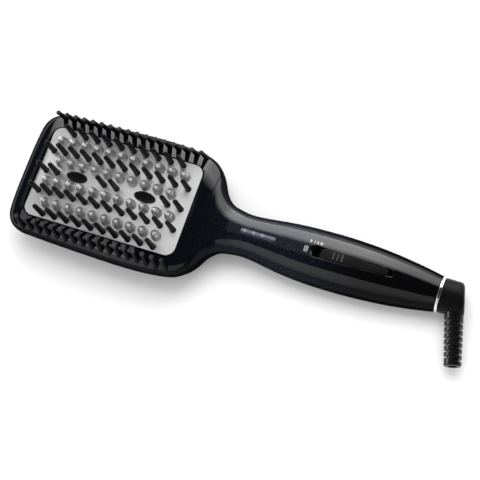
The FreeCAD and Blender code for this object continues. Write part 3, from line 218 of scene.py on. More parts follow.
class Effects:
    """The shader node groups that several finishes share, each built once."""

    CELLS = 0.6
    SLOW = 0.04
    SPOTS = 0.05
    SMEAR = 0.65
    SMEAR_NOISE = (0.35, 0.7)
    HAIR = 40.0
    HAIR_NOISE = (0.66, 0.72)
    SCRATCHED = (0.04, 1.0, 1.0)
    SCRATCH_TURN = (0.0, 0.0, 0.35)
    DRAWN = (0.08, 1.0, 1.0)
    DRAWN_NOISE = (0.35, 0.65)

    def __init__(self) -> None:
        """Builds the groups."""
        self.grain = self.build_grain()
        self.wiped = self.build_wiped()
        self.drawn = self.build_drawn()

    @staticmethod
    def start(name: str, inputs: tuple, outputs: tuple) -> tuple[Graph, Node, Node]:
        """Opens a node group.

        Args:
            name: The group's name.
            inputs: Names of its number inputs.
            outputs: Names of its number outputs.

        Returns:
            The graph, its input node and its output node.
        """
        tree = bpy.data.node_groups.new(name, "ShaderNodeTree")
        for way, titles in (("INPUT", inputs), ("OUTPUT", outputs)):
            for title in titles:
                tree.interface.new_socket(title, in_out=way, socket_type="NodeSocketFloat")
        graph = Graph(tree)
        return graph, graph.add("NodeGroupInput"), graph.add("NodeGroupOutput")

    def build_grain(self) -> Tree:
        """Builds the pebbled grain of a moulded surface, with slow changes of tone.

        Returns:
            The group, with the outputs Height and Tone.
        """
        graph, given, out = self.start("moulded_grain", ("Scale",), ("Height", "Tone"))
        where, scale = graph.place(), given.outputs["Scale"]
        fine = graph.maths("MULTIPLY", graph.noise(where, scale, detail=2.0), 1.0 - self.CELLS)
        spot = {"Vector": where, "Scale": scale}
        cells = graph.add("ShaderNodeTexVoronoi", spot, feature="SMOOTH_F1")
        height = graph.maths("MULTIPLY_ADD", cells.outputs["Distance"], self.CELLS, fine)
        slow = graph.noise(where, graph.maths("MULTIPLY", scale, self.SLOW), detail=4.0)
        graph.fill(out, {"Height": height, "Tone": graph.spread(slow, SOFT_NOISE, RISE)})
        return graph.tree

    def build_wiped(self) -> Tree:
        """Builds the uneven gloss of a handled surface: faint smears and hair-line scratches.

        Returns:
            The group, with the output Roughness.
        """
        graph, given, out = self.start("wiped_gloss", ("Low", "High", "Scale"), ("Roughness",))
        where, scale = graph.place(), given.outputs["Scale"]
        blots = graph.noise(where, scale, detail=5.0)
        smear = graph.spread(blots, self.SMEAR_NOISE, (0.0, self.SMEAR))
        run = {"Vector": where, "Rotation": self.SCRATCH_TURN, "Scale": self.SCRATCHED}
        long_way = graph.add("ShaderNodeMapping", run).outputs["Vector"]
        line = graph.noise(long_way, graph.maths("MULTIPLY", scale, self.HAIR), detail=2.0)
        scratch = graph.spread(line, self.HAIR_NOISE, (0.0, 1.0 - self.SMEAR))
        low_high = (given.outputs["Low"], given.outputs["High"])
        amount = graph.maths("ADD", smear, scratch)
        graph.feed(out.inputs["Roughness"], graph.spread(amount, RISE, low_high))
        return graph.tree

    def build_drawn(self) -> Tree:
        """Builds the drawn grain of sheet metal, running along the object's length.

        Returns:
            The group, with the outputs Height and Tone.
        """
        graph, given, out = self.start("drawn_grain", ("Scale",), ("Height", "Tone"))
        where, scale = graph.place(), given.outputs["Scale"]
        run = {"Vector": where, "Scale": self.DRAWN}
        long_way = graph.add("ShaderNodeMapping", run).outputs["Vector"]
        lines = graph.noise(long_way, scale, detail=4.0)
        spots = graph.noise(where, graph.maths("MULTIPLY", scale, self.SPOTS))
        tone = graph.maths("MULTIPLY_ADD", spots, 0.5, graph.maths("MULTIPLY", lines, 0.5))
        graph.fill(out, {"Height": lines, "Tone": graph.spread(tone, self.DRAWN_NOISE, RISE)})
        return graph.tree


@dataclass(frozen=True)
class Finish:
    """What every finish has.

    Attributes:
        SMEARS: Scale of the smears in its gloss, per metre.
        name: The material's name.
        colour: Its main colour, linear.
        shade: Its second colour, which the tone mixes in.
        roughness: Its lowest and highest roughness.
        grain: Scale of its grain, per metre.
        depth: Depth of its grain in metres.
    """

    SMEARS: ClassVar[float] = 60.0

    name: str
    colour: Colour
    shade: Colour
    roughness: Span
    grain: float
    depth: float

    def start(self) -> tuple[Material, Graph, Node]:
        """Opens the material.

        Returns:
            The material, its graph and its Principled shader.
        """
        material = bpy.data.materials.new(self.name)
        material.use_nodes = True
        graph = Graph(material.node_tree)
        shader = graph.add("ShaderNodeBsdfPrincipled")
        graph.add("ShaderNodeOutputMaterial", {"Surface": shader.outputs["BSDF"]})
        material.diffuse_color = (*self.colour, 1.0)
        return material, graph, shader

    def gloss(self, effects: Effects, graph: Graph, shader: Node) -> None:
        """Gives the shader the uneven gloss between the finish's two roughnesses.

        Args:
            effects: The shared node groups.
            graph: The material's graph.
            shader: Its shader.
        """
        low, high = self.roughness
        wiped = graph.group(effects.wiped, Low=low, High=high, Scale=self.SMEARS)
        graph.feed(shader.inputs["Roughness"], wiped.outputs["Roughness"])

    def tone(self, effects: Effects, graph: Graph) -> Socket:
        """Gives the slow changes of tone of the moulded grain."""
        return graph.group(effects.grain, Scale=self.grain).outputs["Tone"]

    def mix_colours(self, tone: Socket, graph: Graph, shader: Node) -> None:
        """Mixes the finish's two colours by a tone."""
        graph.feed(shader.inputs["Base Color"], graph.tint(tone, self.colour, self.shade))

    def build(self, effects: Effects) -> Material:
        """Builds the finish's material.

        Args:
            effects: The shared node groups.

        Returns:
            The material.
        """
        raise NotImplementedError


@dataclass(frozen=True)
class Plastic(Finish):
    """Moulded plastic, rubber, resin or ceramic: grain, tone, uneven gloss and clear coat."""

    specular: float = 0.5
    coat: float = 0.0
    coat_roughness: float = 0.06

    def build(self, effects: Effects) -> Material:
        """See base class."""
        material, graph, shader = self.start()
        grain = graph.group(effects.grain, Scale=self.grain).outputs
        self.mix_colours(grain["Tone"], graph, shader)
        self.gloss(effects, graph, shader)
        graph.bump(grain["Height"], self.depth, shader)
        coat = {"Coat Weight": self.coat, "Coat Roughness": self.coat_roughness}
        graph.fill(shader, {"Specular IOR Level": self.specular} | coat)
        return material


@dataclass(frozen=True)
class Metal(Finish):
    """Bare or plated metal with a drawn grain."""

    SMEARS: ClassVar[float] = 90.0

    metallic: float = 1.0

    def build(self, effects: Effects) -> Material:
        """See base class."""
        material, graph, shader = self.start()
        grain = graph.group(effects.drawn, Scale=self.grain).outputs
        self.mix_colours(grain["Tone"], graph, shader)
        self.gloss(effects, graph, shader)
        graph.bump(grain["Height"], self.depth, shader)
        graph.feed(shader.inputs["Metallic"], self.metallic)
        return material


@dataclass(frozen=True)
class Lacquer(Finish):
    """Black under a clear coat that shines on the front and back and is dull on the flanks.

    Attributes:
        flank: Shine of upright faces, against 1 on the front.
        slope: Upward parts of the normal between which the shine grows.
        rim: Facing values between which it falls off at the edges of the view.
        edge: What is left of it there.
        ripple: Scale of the coat's slight waves, per metre.
    """

    flank: float = 0.13
    slope: Span = (0.62, 0.76)
    rim: Span = (0.42, 0.58)
    edge: float = 0.1
    coat_roughness: float = 0.04
    coat_ior: float = 1.5
    ripple: float = 260.0

    def ground(self, effects: Effects, graph: Graph, shader: Node, place: Socket) -> None:
        """Gives the shader its colour under the coat.

        Args:
            effects: The shared node groups.
            graph: The material's graph.
            shader: Its shader.
            place: The object's own coordinates.
        """
        self.mix_colours(self.tone(effects, graph), graph, shader)

    def build(self, effects: Effects) -> Material:
        """See base class."""
        material, graph, shader = self.start()
        place = graph.add("ShaderNodeTexCoord").outputs
        self.ground(effects, graph, shader, place["Object"])
        self.gloss(effects, graph, shader)
        upward = graph.maths("ABSOLUTE", graph.split(place["Normal"])["Z"])
        front = graph.spread(upward, self.slope, (self.flank, 1.0))
        facing = graph.add("ShaderNodeLayerWeight").outputs["Facing"]
        seen = graph.spread(facing, self.rim, (1.0, self.edge))
        graph.fill(shader, {
            "Coat Weight": graph.maths("MULTIPLY", front, seen),
            "Coat Roughness": self.coat_roughness,
            "Coat IOR": self.coat_ior,
            "Specular IOR Level": 0.0,
        })
        graph.bump(graph.noise(place["Object"], self.ripple, detail=1.0), self.depth, shader)
        return material


@dataclass(frozen=True)
class FlakeLacquer(Lacquer):
    """Midnight lacquer with fine blue flake, which turns plain black towards the tail.

    Attributes:
        fade: Where along the handle the flake starts to thin out and ends, in metres.
        neck: Where behind the head it starts to thicken and is full.
        on_head: Share of it on the head.
        picked: Values between which a cell turns into flake.
        brightest: Strength of the brightest flake.
        outline: Distances from a cell's middle between which its flake ends.
        cloud: Scale of the ground's slow changes, per metre.
        thinnest: Share of the second colour where the ground is darkest.
    """

    flake: Colour = (0.045, 0.055, 0.12)
    fade: Span = (0.115, 0.160)
    neck: Span = (0.060, 0.085)
    on_head: float = 0.3
    picked: Span = (0.45, 1.0)
    brightest: float = 0.8
    outline: Span = (0.25, 0.6)
    cloud: float = 900.0
    thinnest: float = 0.6

    def ground(self, effects: Effects, graph: Graph, shader: Node, place: Socket) -> None:
        """See base class."""
        spot = {"Vector": place, "Scale": self.grain}
        cells = graph.add("ShaderNodeTexVoronoi", spot, feature="F1")
        pick = graph.add("ShaderNodeSeparateColor", {"Color": cells.outputs["Color"]})
        chosen = graph.spread(pick.outputs["Red"], self.picked, (0.0, self.brightest))
        core = graph.spread(cells.outputs["Distance"], self.outline, FALL)
        along = graph.split(place)["X"]
        behind = graph.spread(along, self.neck, (self.on_head, 1.0))
        amount = graph.maths("MULTIPLY", behind, graph.spread(along, self.fade, FALL))
        sparkle = graph.maths("MULTIPLY", graph.maths("MULTIPLY", chosen, core), amount)
        tone = graph.group(effects.grain, Scale=self.cloud).outputs["Tone"]
        navy = graph.maths("MULTIPLY", graph.spread(tone, RISE, (self.thinnest, 1.0)), amount)
        under = graph.tint(navy, self.colour, self.shade)
        flaked = graph.tint(sparkle, under, self.flake)
        graph.fill(shader, {"Base Color": flaked, "Metallic": sparkle})


@dataclass(frozen=True)
class Nylon(Finish):
    """Nylon of a bristle or tooth, shinier between two heights near its tip, where a painted
    highlight also makes it paler.
    """

    # Paler colour near the tip: a painted highlight, not a colour of the nylon.
    tip_highlight: Colour = grey(0.006)
    low: float = 0.036
    high: float = 0.050
    specular: float = 0.12

    def build(self, effects: Effects) -> Material:
        """See base class."""
        material, graph, shader = self.start()
        rise = graph.spread(graph.split(graph.place())["Z"], (self.low, self.high), RISE)
        grain = graph.group(effects.grain, Scale=self.grain).outputs
        ground = graph.tint(grain["Tone"], self.colour, self.shade)
        graph.fill(shader, {
            # Mixes in the paler colour between the two heights as a painted highlight near the tip.
            "Base Color": graph.tint(rise, ground, self.tip_highlight),
            "Roughness": graph.spread(rise, RISE, self.roughness[::-1]),
            "Specular IOR Level": self.specular,
        })
        graph.bump(grain["Height"], self.depth, shader)
        return material


@dataclass(frozen=True)
class LitWindow(Finish):
    """Smoked plastic bar over a row of lamps: a dim core with a bright spot over each lit lamp.

    Attributes:
        dark: Glow of the bar beside its core.
        core: Glow of the core.
        spot: Glow of a spot.
        first: Place of the first lamp along the handle, in metres.
        pitch: Distance between the lamps.
        lit: Number of lit lamps.
        unlit: Strength of the spot over the other lamps.
        spot_edge: Distances from a lamp between which its spot ends.
        core_edge: Distances from the middle line between which the core ends.
    """

    dark: Colour = (0.006, 0.006, 0.01)
    core: Colour = (0.15, 0.15, 0.20)
    spot: Colour = (0.36, 0.36, 0.45)
    first: float = 0.0860
    pitch: float = 0.0056
    lit: int = 3
    unlit: float = 0.2
    spot_edge: Span = (0.0003, 0.0013)
    core_edge: Span = (0.00063, 0.00117)
    coat: float = 0.5

    def build(self, effects: Effects) -> Material:
        """See base class."""
        material, graph, shader = self.start()
        where = graph.split(graph.place())
        along = graph.maths("SUBTRACT", where["X"], self.first - self.pitch / 2)
        step = graph.maths("SUBTRACT", graph.maths("MODULO", along, self.pitch), self.pitch / 2)
        across = graph.maths("ABSOLUTE", where["Y"])
        squares = (graph.maths("POWER", length, 2.0) for length in (step, across))
        away = graph.maths("SQRT", graph.maths("ADD", *squares))
        spot = graph.spread(away, self.spot_edge, FALL)
        lit = graph.maths("LESS_THAN", along, self.pitch * self.lit)
        mask = graph.maths("MULTIPLY", spot, graph.spread(lit, RISE, (self.unlit, 1.0)))
        bar = graph.tint(graph.spread(across, self.core_edge, FALL), self.dark, self.core)
        self.mix_colours(self.tone(effects, graph), graph, shader)
        self.gloss(effects, graph, shader)
        graph.fill(shader, {
            "Emission Color": graph.tint(mask, bar, self.spot),
            "Emission Strength": 1.0,
            "Coat Weight": self.coat,
        })
        return material


@dataclass(frozen=True)
class Lamp(Finish):
    """The white resin of a lit lamp."""

    glow: Colour = (0.85, 0.87, 1.0)
    strength: float = 0.08

    def build(self, effects: Effects) -> Material:
        """See base class."""
        material, graph, shader = self.start()
        tone = self.tone(effects, graph)
        self.mix_colours(tone, graph, shader)
        light = graph.tint(tone, self.glow, self.colour)
        graph.fill(shader, {"Emission Color": light, "Emission Strength": self.strength})
        self.gloss(effects, graph, shader)
        return material


@dataclass(frozen=True)
class CircuitBoard(Finish):
    """Solder-masked glass laminate with faint copper runs under the mask."""

    track: Colour = (0.014, 0.016, 0.013)
    width: float = 0.06

    def build(self, effects: Effects) -> Material:
        """See base class."""
        material, graph, shader = self.start()
        runs = graph.add("ShaderNodeTexBrick", {
            "Vector": graph.place(),
            "Scale": self.grain,
            "Mortar Size": self.width,
            "Color1": (*self.colour, 1.0),
            "Color2": (*self.shade, 1.0),
            "Mortar": (*self.track, 1.0),
        })
        graph.feed(shader.inputs["Base Color"], runs.outputs["Color"])
        self.gloss(effects, graph, shader)
        graph.bump(runs.outputs["Fac"], self.depth, shader)
        return material


FINISHES: dict[str, Finish] = {finish.name: finish for finish in (
    FlakeLacquer(
        "shell_blue", (0.0016, 0.0016, 0.002), (0.004, 0.0046, 0.008), (0.35, 0.45), 2600.0, 2e-6
    ),
    Lacquer(
        "shell_black", (0.002, 0.002, 0.0022), (0.004, 0.004, 0.0045), (0.3, 0.4), 1400.0, 2e-6
    ),
    Nylon(
        "tooth_black", grey(0.002), grey(0.005), (0.3, 0.45), 2400.0, 6e-6,
        # The pale tip colour of the teeth is a painted highlight on their ball tips.
        tip_highlight=(0.055, 0.055, 0.058), low=0.0410, high=0.0434, specular=0.03,
    ),
    Nylon("bristle_black", grey(0.002), grey(0.005), (0.3, 0.45), 2400.0, 8e-6),
    Plastic("outlet_black", grey(0.002), grey(0.010), (0.4, 0.65), 1500.0, 1.5e-4, specular=0.15),
    Metal(
        "plate_silver", grey(0.76), (0.68, 0.68, 0.69), (0.33, 0.43), 2600.0, 3e-6, metallic=0.88
    ),
    Plastic(
        "button_black", (0.005, 0.0045, 0.004), (0.008, 0.007, 0.0065), (0.3, 0.42), 2200.0, 1e-5,
        specular=0.12, coat=0.5,
    ),
    Plastic("rib_grey", (0.035, 0.032, 0.030), (0.052, 0.048, 0.045), (0.4, 0.55), 2600.0, 1e-5),
    LitWindow(
        "window_clear", (0.010, 0.010, 0.014), (0.016, 0.016, 0.022), (0.10, 0.2), 900.0, 0.0
    ),
    Lamp("lamp_white", (0.19, 0.19, 0.21), (0.15, 0.15, 0.17), (0.2, 0.3), 1500.0, 0.0),
    Metal("ring_chrome", (0.86, 0.87, 0.88), (0.80, 0.81, 0.82), (0.05, 0.14), 5000.0, 5e-7),
    Plastic("cap_black", grey(0.003), grey(0.006), (0.26, 0.38), 2300.0, 8e-6, specular=0.07),
    Plastic("relief_rubber", grey(0.002), grey(0.005), (0.22, 0.34), 2000.0, 1e-5, specular=0.25),
    Plastic("mark_ink", (0.66, 0.67, 0.70), (0.58, 0.59, 0.62), (0.45, 0.6), 2500.0, 2e-6),
    Metal("needle_steel", (0.62, 0.62, 0.63), (0.52, 0.52, 0.53), (0.2, 0.35), 6000.0, 2e-6),
    Plastic(
        "heater_ceramic", (0.78, 0.76, 0.72), (0.68, 0.65, 0.60), (0.5, 0.7), 2500.0, 2e-5,
        specular=0.4,
    ),
    Plastic("mica", (0.50, 0.42, 0.30), (0.36, 0.29, 0.20), (0.25, 0.5), 900.0, 2e-5, specular=0.6),
    Metal("stack_steel", grey(0.55), (0.44, 0.44, 0.45), (0.3, 0.5), 3500.0, 4e-6),
    Plastic(
        "tray_plastic", (0.03, 0.028, 0.026), (0.045, 0.042, 0.04), (0.5, 0.7), 1600.0, 2e-5,
        specular=0.4,
    ),
    Plastic(
        "sensor_glass", (0.35, 0.16, 0.05), (0.24, 0.10, 0.03), (0.05, 0.15), 2000.0, 2e-6,
        specular=0.6,
    ),
    Metal("fuse_metal", (0.72, 0.68, 0.58), (0.60, 0.56, 0.47), (0.25, 0.4), 4000.0, 3e-6),
    Plastic(
        "generator_resin", (0.015, 0.016, 0.02), (0.028, 0.029, 0.034), (0.3, 0.6), 1100.0, 3e-5
    ),
    CircuitBoard(
        "board_black", (0.006, 0.008, 0.007), (0.008, 0.010, 0.009), (0.4, 0.55), 160.0, 1e-5
    ),
    Plastic("relay_black", (0.02, 0.02, 0.021), (0.032, 0.032, 0.033), (0.4, 0.6), 1900.0, 1e-5),
    Plastic(
        "capacitor_sleeve", (0.02, 0.025, 0.06), (0.03, 0.036, 0.08), (0.25, 0.4), 1200.0, 5e-6
    ),
    Plastic("lever_black", grey(0.006), grey(0.011), (0.45, 0.6), 1800.0, 8e-6),
    Metal("contact_brass", (0.72, 0.52, 0.22), (0.58, 0.40, 0.16), (0.2, 0.35), 4500.0, 3e-6),
    Metal("screw_steel", (0.30, 0.30, 0.31), (0.22, 0.22, 0.23), (0.25, 0.4), 5000.0, 3e-6),
    Plastic("wire_white", (0.72, 0.71, 0.68), (0.62, 0.61, 0.58), (0.4, 0.55), 1700.0, 1e-5),
    Plastic("lead_grey", (0.20, 0.20, 0.21), (0.26, 0.26, 0.27), (0.4, 0.55), 1700.0, 1e-5),
    Plastic("lead_red", (0.42, 0.02, 0.018), (0.32, 0.014, 0.012), (0.35, 0.5), 1700.0, 1e-5),
    Plastic("mains_brown", (0.10, 0.035, 0.015), (0.075, 0.026, 0.011), (0.4, 0.55), 1700.0, 1e-5),
    Plastic("mains_blue", (0.015, 0.10, 0.38), (0.012, 0.075, 0.30), (0.4, 0.55), 1700.0, 1e-5),
)}


class Paintbox:
    """Hands out one material for each finish."""

    def __init__(self) -> None:
        """Builds the shared effects and starts with no materials."""
        self.effects = Effects()
        self.made: dict[str, Material] = {}

    def paint(self, piece: Piece, finish: str) -> None:
        """Gives a piece its finish.

        Args:
            piece: The object to paint.
            finish: A key of FINISHES.
        """
        if not piece.material_slots:
            piece.data.materials.append(None)
        for place in piece.material_slots:
            place.material = self.material(finish)

    def material(self, finish: str) -> Material:
        """Gives a finish's material, and builds it on first use.

        Args:
            finish: A key of FINISHES.

        Returns:
            The material.
        """
        if finish not in self.made:
            self.made[finish] = FINISHES[finish].build(self.effects)
        return self.made[finish]


def only(*pieces: Piece) -> None:
    """Selects some objects alone and makes the first one active.

    Args:
        pieces: The objects.
    """
    bpy.ops.object.select_all(action="DESELECT")
    for piece in pieces:
        piece.select_set(True)
    bpy.context.view_layer.objects.active = pieces[0]


@contextmanager
def editing(piece: Piece) -> Iterator[None]:
    """Opens one object in edit mode with everything selected, and closes it again.

    Args:
        piece: The object.

    Yields:
        Nothing, while it is open.
    """
    only(piece)
    bpy.ops.object.mode_set(mode="EDIT")
    bpy.ops.mesh.select_all(action="SELECT")
    yield
    bpy.ops.object.mode_set(mode="OBJECT")


def modify(piece: Piece, name: str, kind: str, **settings: object) -> None:
    """Applies a modifier to an object.

    Args:
        piece: The object.
        name: The modifier's name.
        kind: Its type name.
        settings: Properties to set on it.
    """
    only(piece)
    modifier = piece.modifiers.new(name, kind)
    for key, value in settings.items():
        setattr(modifier, key, value)
    bpy.ops.object.modifier_apply(modifier=modifier.name)


@dataclass
class SubAssembly:
    """A group of CAD nodes that is dressed together.

    Attributes:
        body: The body that its new pieces ride on.
        skins: Nodes that show from outside, with their finish.
        kept: Nodes that keep their CAD mesh, with their finish.
        crease: Angle from which an edge stays sharp, in degrees.
        weld: Points nearer than this become one, in metres.
        sliver: Edges shorter than this are taken out.
        rim: Width of the rounding on the rims of openings in the front.
        rim_steps: Number of faces across it.
        top_from: Upward part of the normal from which a face is front.
        wall_to: Upward part of the normal up to which it is wall.
    """

    frame: dict
    paints: Paintbox
    body: Body = Body.MAIN
    skins: dict[str, str] = field(default_factory=dict)
    kept: dict[str, str] = field(default_factory=dict)
    crease: float = 32.0
    weld: float = 1e-6
    sliver: float = 1e-7
    rim: float = 0.0006
    rim_steps: int = 2
    top_from: float = 0.7
    wall_to: float = 0.2

    def smooth(self) -> None:
        """Shades the active object smooth up to the crease angle."""
        bpy.ops.object.shade_smooth_by_angle(angle=math.radians(self.crease))

    def skin(self, node: str, finish: str) -> Piece:
        """Makes a smooth copy of a node's mesh that stands for it.

        Args:
            node: The CAD node.
            finish: A key of FINISHES.

        Returns:
            The copy, painted and riding on the body.
        """
        mesh = self.frame["nodes"][node].data.copy()
        mesh.name = f"{node}_skin"
        piece = bpy.data.objects.new(f"{node}_skin", mesh)
        bpy.context.scene.collection.objects.link(piece)
        with editing(piece):
            bpy.ops.mesh.customdata_custom_splitnormals_clear()
            bpy.ops.mesh.remove_doubles(threshold=self.weld)
        self.smooth()
        self.paints.paint(piece, finish)
        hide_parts(node)
        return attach(piece, self.body.value)

    def ease_rims(self, piece: Piece) -> None:
        """Rounds the rims of the openings in a skin's front, so that they catch the light.

        Args:
            piece: The skin.
        """
        mesh = piece.data
        beside: dict[tuple[int, int], list[bpy.types.MeshPolygon]] = {}
        for face in mesh.polygons:
            for key in face.edge_keys:
                beside.setdefault(key, []).append(face)
        weights = mesh.attributes.new("bevel_weight_edge", "FLOAT", "EDGE")
        eased = 0
        for edge in mesh.edges:
            wall, top = sorted(beside[edge.key], key=lambda face: face.normal.z)
            outward = (wall.center - top.center).dot(top.normal) < 0.0
            if outward and top.normal.z > self.top_from and abs(wall.normal.z) < self.wall_to:
                weights.data[edge.index].value = 1.0
                eased += 1
        how = {"limit_method": "WEIGHT", "width": self.rim, "segments": self.rim_steps}
        modify(piece, "eased_rims", "BEVEL", **how)
        with editing(piece):
            bpy.ops.mesh.dissolve_degenerate(threshold=self.sliver)
        self.smooth()
        LOG.info("eased %d rim edges of %s", eased, piece.name)

    def dress(self) -> list[Piece]:
        """Makes the skins and paints the nodes that keep their mesh.

        Returns:
            The new pieces.
        """
        pieces = [self.skin(node, finish) for node, finish in self.skins.items()]
        for node, finish in self.kept.items():
            self.paints.paint(self.frame["nodes"][node], finish)
            LOG.info("painted %s as %s", node, finish)
        for piece in pieces:
            LOG.info("made %s with %d faces", piece.name, len(piece.data.polygons))
        return pieces


@dataclass
class Head(SubAssembly):
    """The head: frame with comb teeth, heater plate, bristles and ion outlets.

    Attributes:
        tooth_pitch: Distance between the comb teeth, in metres.
        tooth_side: Distance of their feet from the middle line.
        tooth_lean: How far they lean in, against their height.
        tooth_foot: Height of their feet.
        tooth_ball: Height from which only their tips are left.
        tooth_reach: Distance from a tooth's axis up to which a face is part of it.
        tooth_flank: Part of a flank's normal that may run along the axis.
    """

    strips: int = 7
    outlets: int = 2
    tooth_count: int = 17
    tooth_pitch: float = 0.006
    tooth_side: float = 0.037
    tooth_lean: float = 0.002 / 0.0149
    tooth_foot: float = 0.028
    tooth_ball: float = 0.038
    tooth_reach: float = 0.00205
    tooth_flank: float = 0.35

    def blacken_teeth(self, piece: Piece) -> int:
        """Gives the comb teeth of the frame their own black finish.

        Args:
            piece: The frame's skin.

        Returns:
            The number of faces that were given it.
        """
        piece.data.materials.append(self.paints.material("tooth_black"))
        row_end = self.tooth_count * self.tooth_pitch / 2
        painted = 0
        for face in piece.data.polygons:
            x, y, z = face.center
            side = math.copysign(1.0, y)
            line = Vector((0.0, -side * self.tooth_lean, 1.0)).normalized()
            nearest = round(x / self.tooth_pitch) * self.tooth_pitch
            axis_y = side * (self.tooth_side - self.tooth_lean * (z - self.tooth_foot))
            away = math.hypot(x - nearest, y - axis_y)
            flank = abs(face.normal.dot(line)) < self.tooth_flank
            upright = flank or z > self.tooth_ball
            if away < self.tooth_reach and upright and abs(nearest) < row_end:
                face.material_index = 1
                painted += 1
        return painted

    def dress(self) -> list[Piece]:
        """See base class."""
        self.skins = {"head_frame": "shell_blue", "heater_plate": "plate_silver"}
        rows = (
            ("bristle_strip", self.strips, "bristle_black"),
            ("ion_outlet", self.outlets, "outlet_black"),
            ("ion_needle", self.outlets, "needle_steel"),
        )
        for name, count, finish in rows:
            self.skins |= {f"{name}_{i + 1}": finish for i in range(count)}
        pieces = super().dress()
        LOG.info("blackened %d faces of the comb teeth", self.blacken_teeth(pieces[0]))
        self.ease_rims(pieces[0])
        return pieces


@dataclass
class Handle(SubAssembly):
    """The shells of the handle, its window and lamp, and the heat marks beside the slot.

    Attributes:
        mark_places: Places of the heat marks along the handle, in metres.
        mark_side: Their distance from the middle line.
        mark_height: Height of a mark's figure.
        above: Height from which a mark is laid on the shell.
        bar_cells: Number of faces across and along a bar.
        ring_width: Width of the off mark's ring, against its height.
        ring_line: Width of its line, in bars.
        ring_pinch: How much narrower its hole is.
        film: How far the ink stands on the shell.
    """

    mark_places: tuple[float, ...] = (0.1260, 0.1284, 0.1303, 0.1325)
    mark_side: float = 0.00535
    mark_height: float = 0.0018
    above: float = 0.06
    bar: float = 0.00030
    bar_pitch: float = 0.00058
    bar_cells: tuple[int, int] = (2, 10)
    ring_points: int = 28
    ring_width: float = 0.72
    ring_line: float = 1.25
    ring_pinch: float = 0.92
    film: float = 0.00004

    @staticmethod
    def sized(width: float, height: float) -> Piece:
        """Scales the object that was just added.

        Args:
            width: Its scale along the handle.
            height: Its scale across the handle.

        Returns:
            The object.
        """
        piece = bpy.context.object
        piece.scale = (width, height, 1.0)
        bpy.ops.object.transform_apply(location=True, rotation=True, scale=True)
        return piece

    def bar_mesh(self, place: float) -> Piece:
        """Models one bar over the handle as a small flat strip.

        Args:
            place: Its place along the handle.

        Returns:
            The bar.
        """
        across, along = self.bar_cells
        bpy.ops.object.select_all(action="DESELECT")
        bpy.ops.mesh.primitive_grid_add(
            x_subdivisions=across, y_subdivisions=along, size=1.0,
            location=(place, self.mark_side, self.above),
        )
        return self.sized(self.bar, self.mark_height)

    def ring_mesh(self, place: float) -> Piece:
        """Models the ring of the off mark from a circle that is extruded inwards.

        Args:
            place: Its place along the handle.

        Returns:
            The ring.
        """
        radius = self.mark_height / 2
        middle = (place, self.mark_side, self.above)
        bpy.ops.object.select_all(action="DESELECT")
        bpy.ops.mesh.primitive_circle_add(
            vertices=self.ring_points, radius=radius, location=middle
        )
        piece = self.sized(self.ring_width, 1.0)
        share = 1.0 - self.bar * self.ring_line / radius
        with editing(piece):
            bpy.ops.mesh.extrude_edges_move()
            bpy.ops.transform.resize(
                value=(share * self.ring_pinch, share, 1.0), center_override=middle
            )
        return piece

    def heat_mark(self, mark: Mark, shell: Piece) -> Piece:
        """Models one heat mark and lays it on the shell.

        Args:
            mark: Which mark.
            shell: The handle's front skin.

        Returns:
            The mark.
        """
        place = self.mark_places[mark.value]
        if mark is Mark.OFF:
            shapes = [self.ring_mesh(place)]
        else:
            starts = place - (mark.value - 1) / 2 * self.bar_pitch
            shapes = [self.bar_mesh(starts + i * self.bar_pitch) for i in range(mark.value)]
        only(*shapes)
        bpy.ops.object.join()
        piece = bpy.context.object
        piece.name = f"heat_mark_{mark.name.lower()}"
        with editing(piece):
            bpy.ops.mesh.normals_make_consistent(inside=False)
        modify(
            piece, "lay_on_shell", "SHRINKWRAP", target=shell, wrap_method="PROJECT",
            use_project_z=True, use_negative_direction=True, use_positive_direction=False,
            wrap_mode="ABOVE_SURFACE", offset=self.film,
        )
        modify(piece, "ink", "SOLIDIFY", thickness=self.film)
        with editing(piece):
            bpy.ops.mesh.normals_make_consistent(inside=False)
        self.paints.paint(piece, "mark_ink")
        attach(piece, self.body.value)
        LOG.info("made %s with %d faces", piece.name, len(piece.data.polygons))
        return piece

    def dress(self) -> list[Piece]:
        """See base class."""
        self.skins = {
            "handle_front_shell": "shell_blue",
            "rear_shell": "shell_black",
            "led_window": "window_clear",
            "power_lamp": "lamp_white",
        }
        screws = ("head_screws", "plate_screws", "handle_screws")
        self.kept = {name: "screw_steel" for name in screws}
        pieces = super().dress()
        self.ease_rims(pieces[0])
        return pieces + [self.heat_mark(mark, pieces[0]) for mark in Mark]


@dataclass
class Slider(SubAssembly):
    """The slide button with its ribs and the switch lever that it moves."""

    body: Body = Body.SLIDER

    def dress(self) -> list[Piece]:
        """See base class."""
        self.skins = {"slide_button": "button_black", "thumb_ribs": "rib_grey"}
        self.kept = {"switch_lever": "lever_black"}
        pieces = super().dress()
        self.ease_rims(pieces[0])
        return pieces


@dataclass
class CordEnd(SubAssembly):
    """The swivel cap, its core and rings, and the strain relief."""

    body: Body = Body.CORD

    def dress(self) -> list[Piece]:
        """See base class."""
        self.skins = {"swivel_cap": "cap_black", "strain_relief": "relief_rubber"}
        self.kept = {"swivel_core": "cap_black", "slip_rings": "contact_brass"}
        return super().dress()


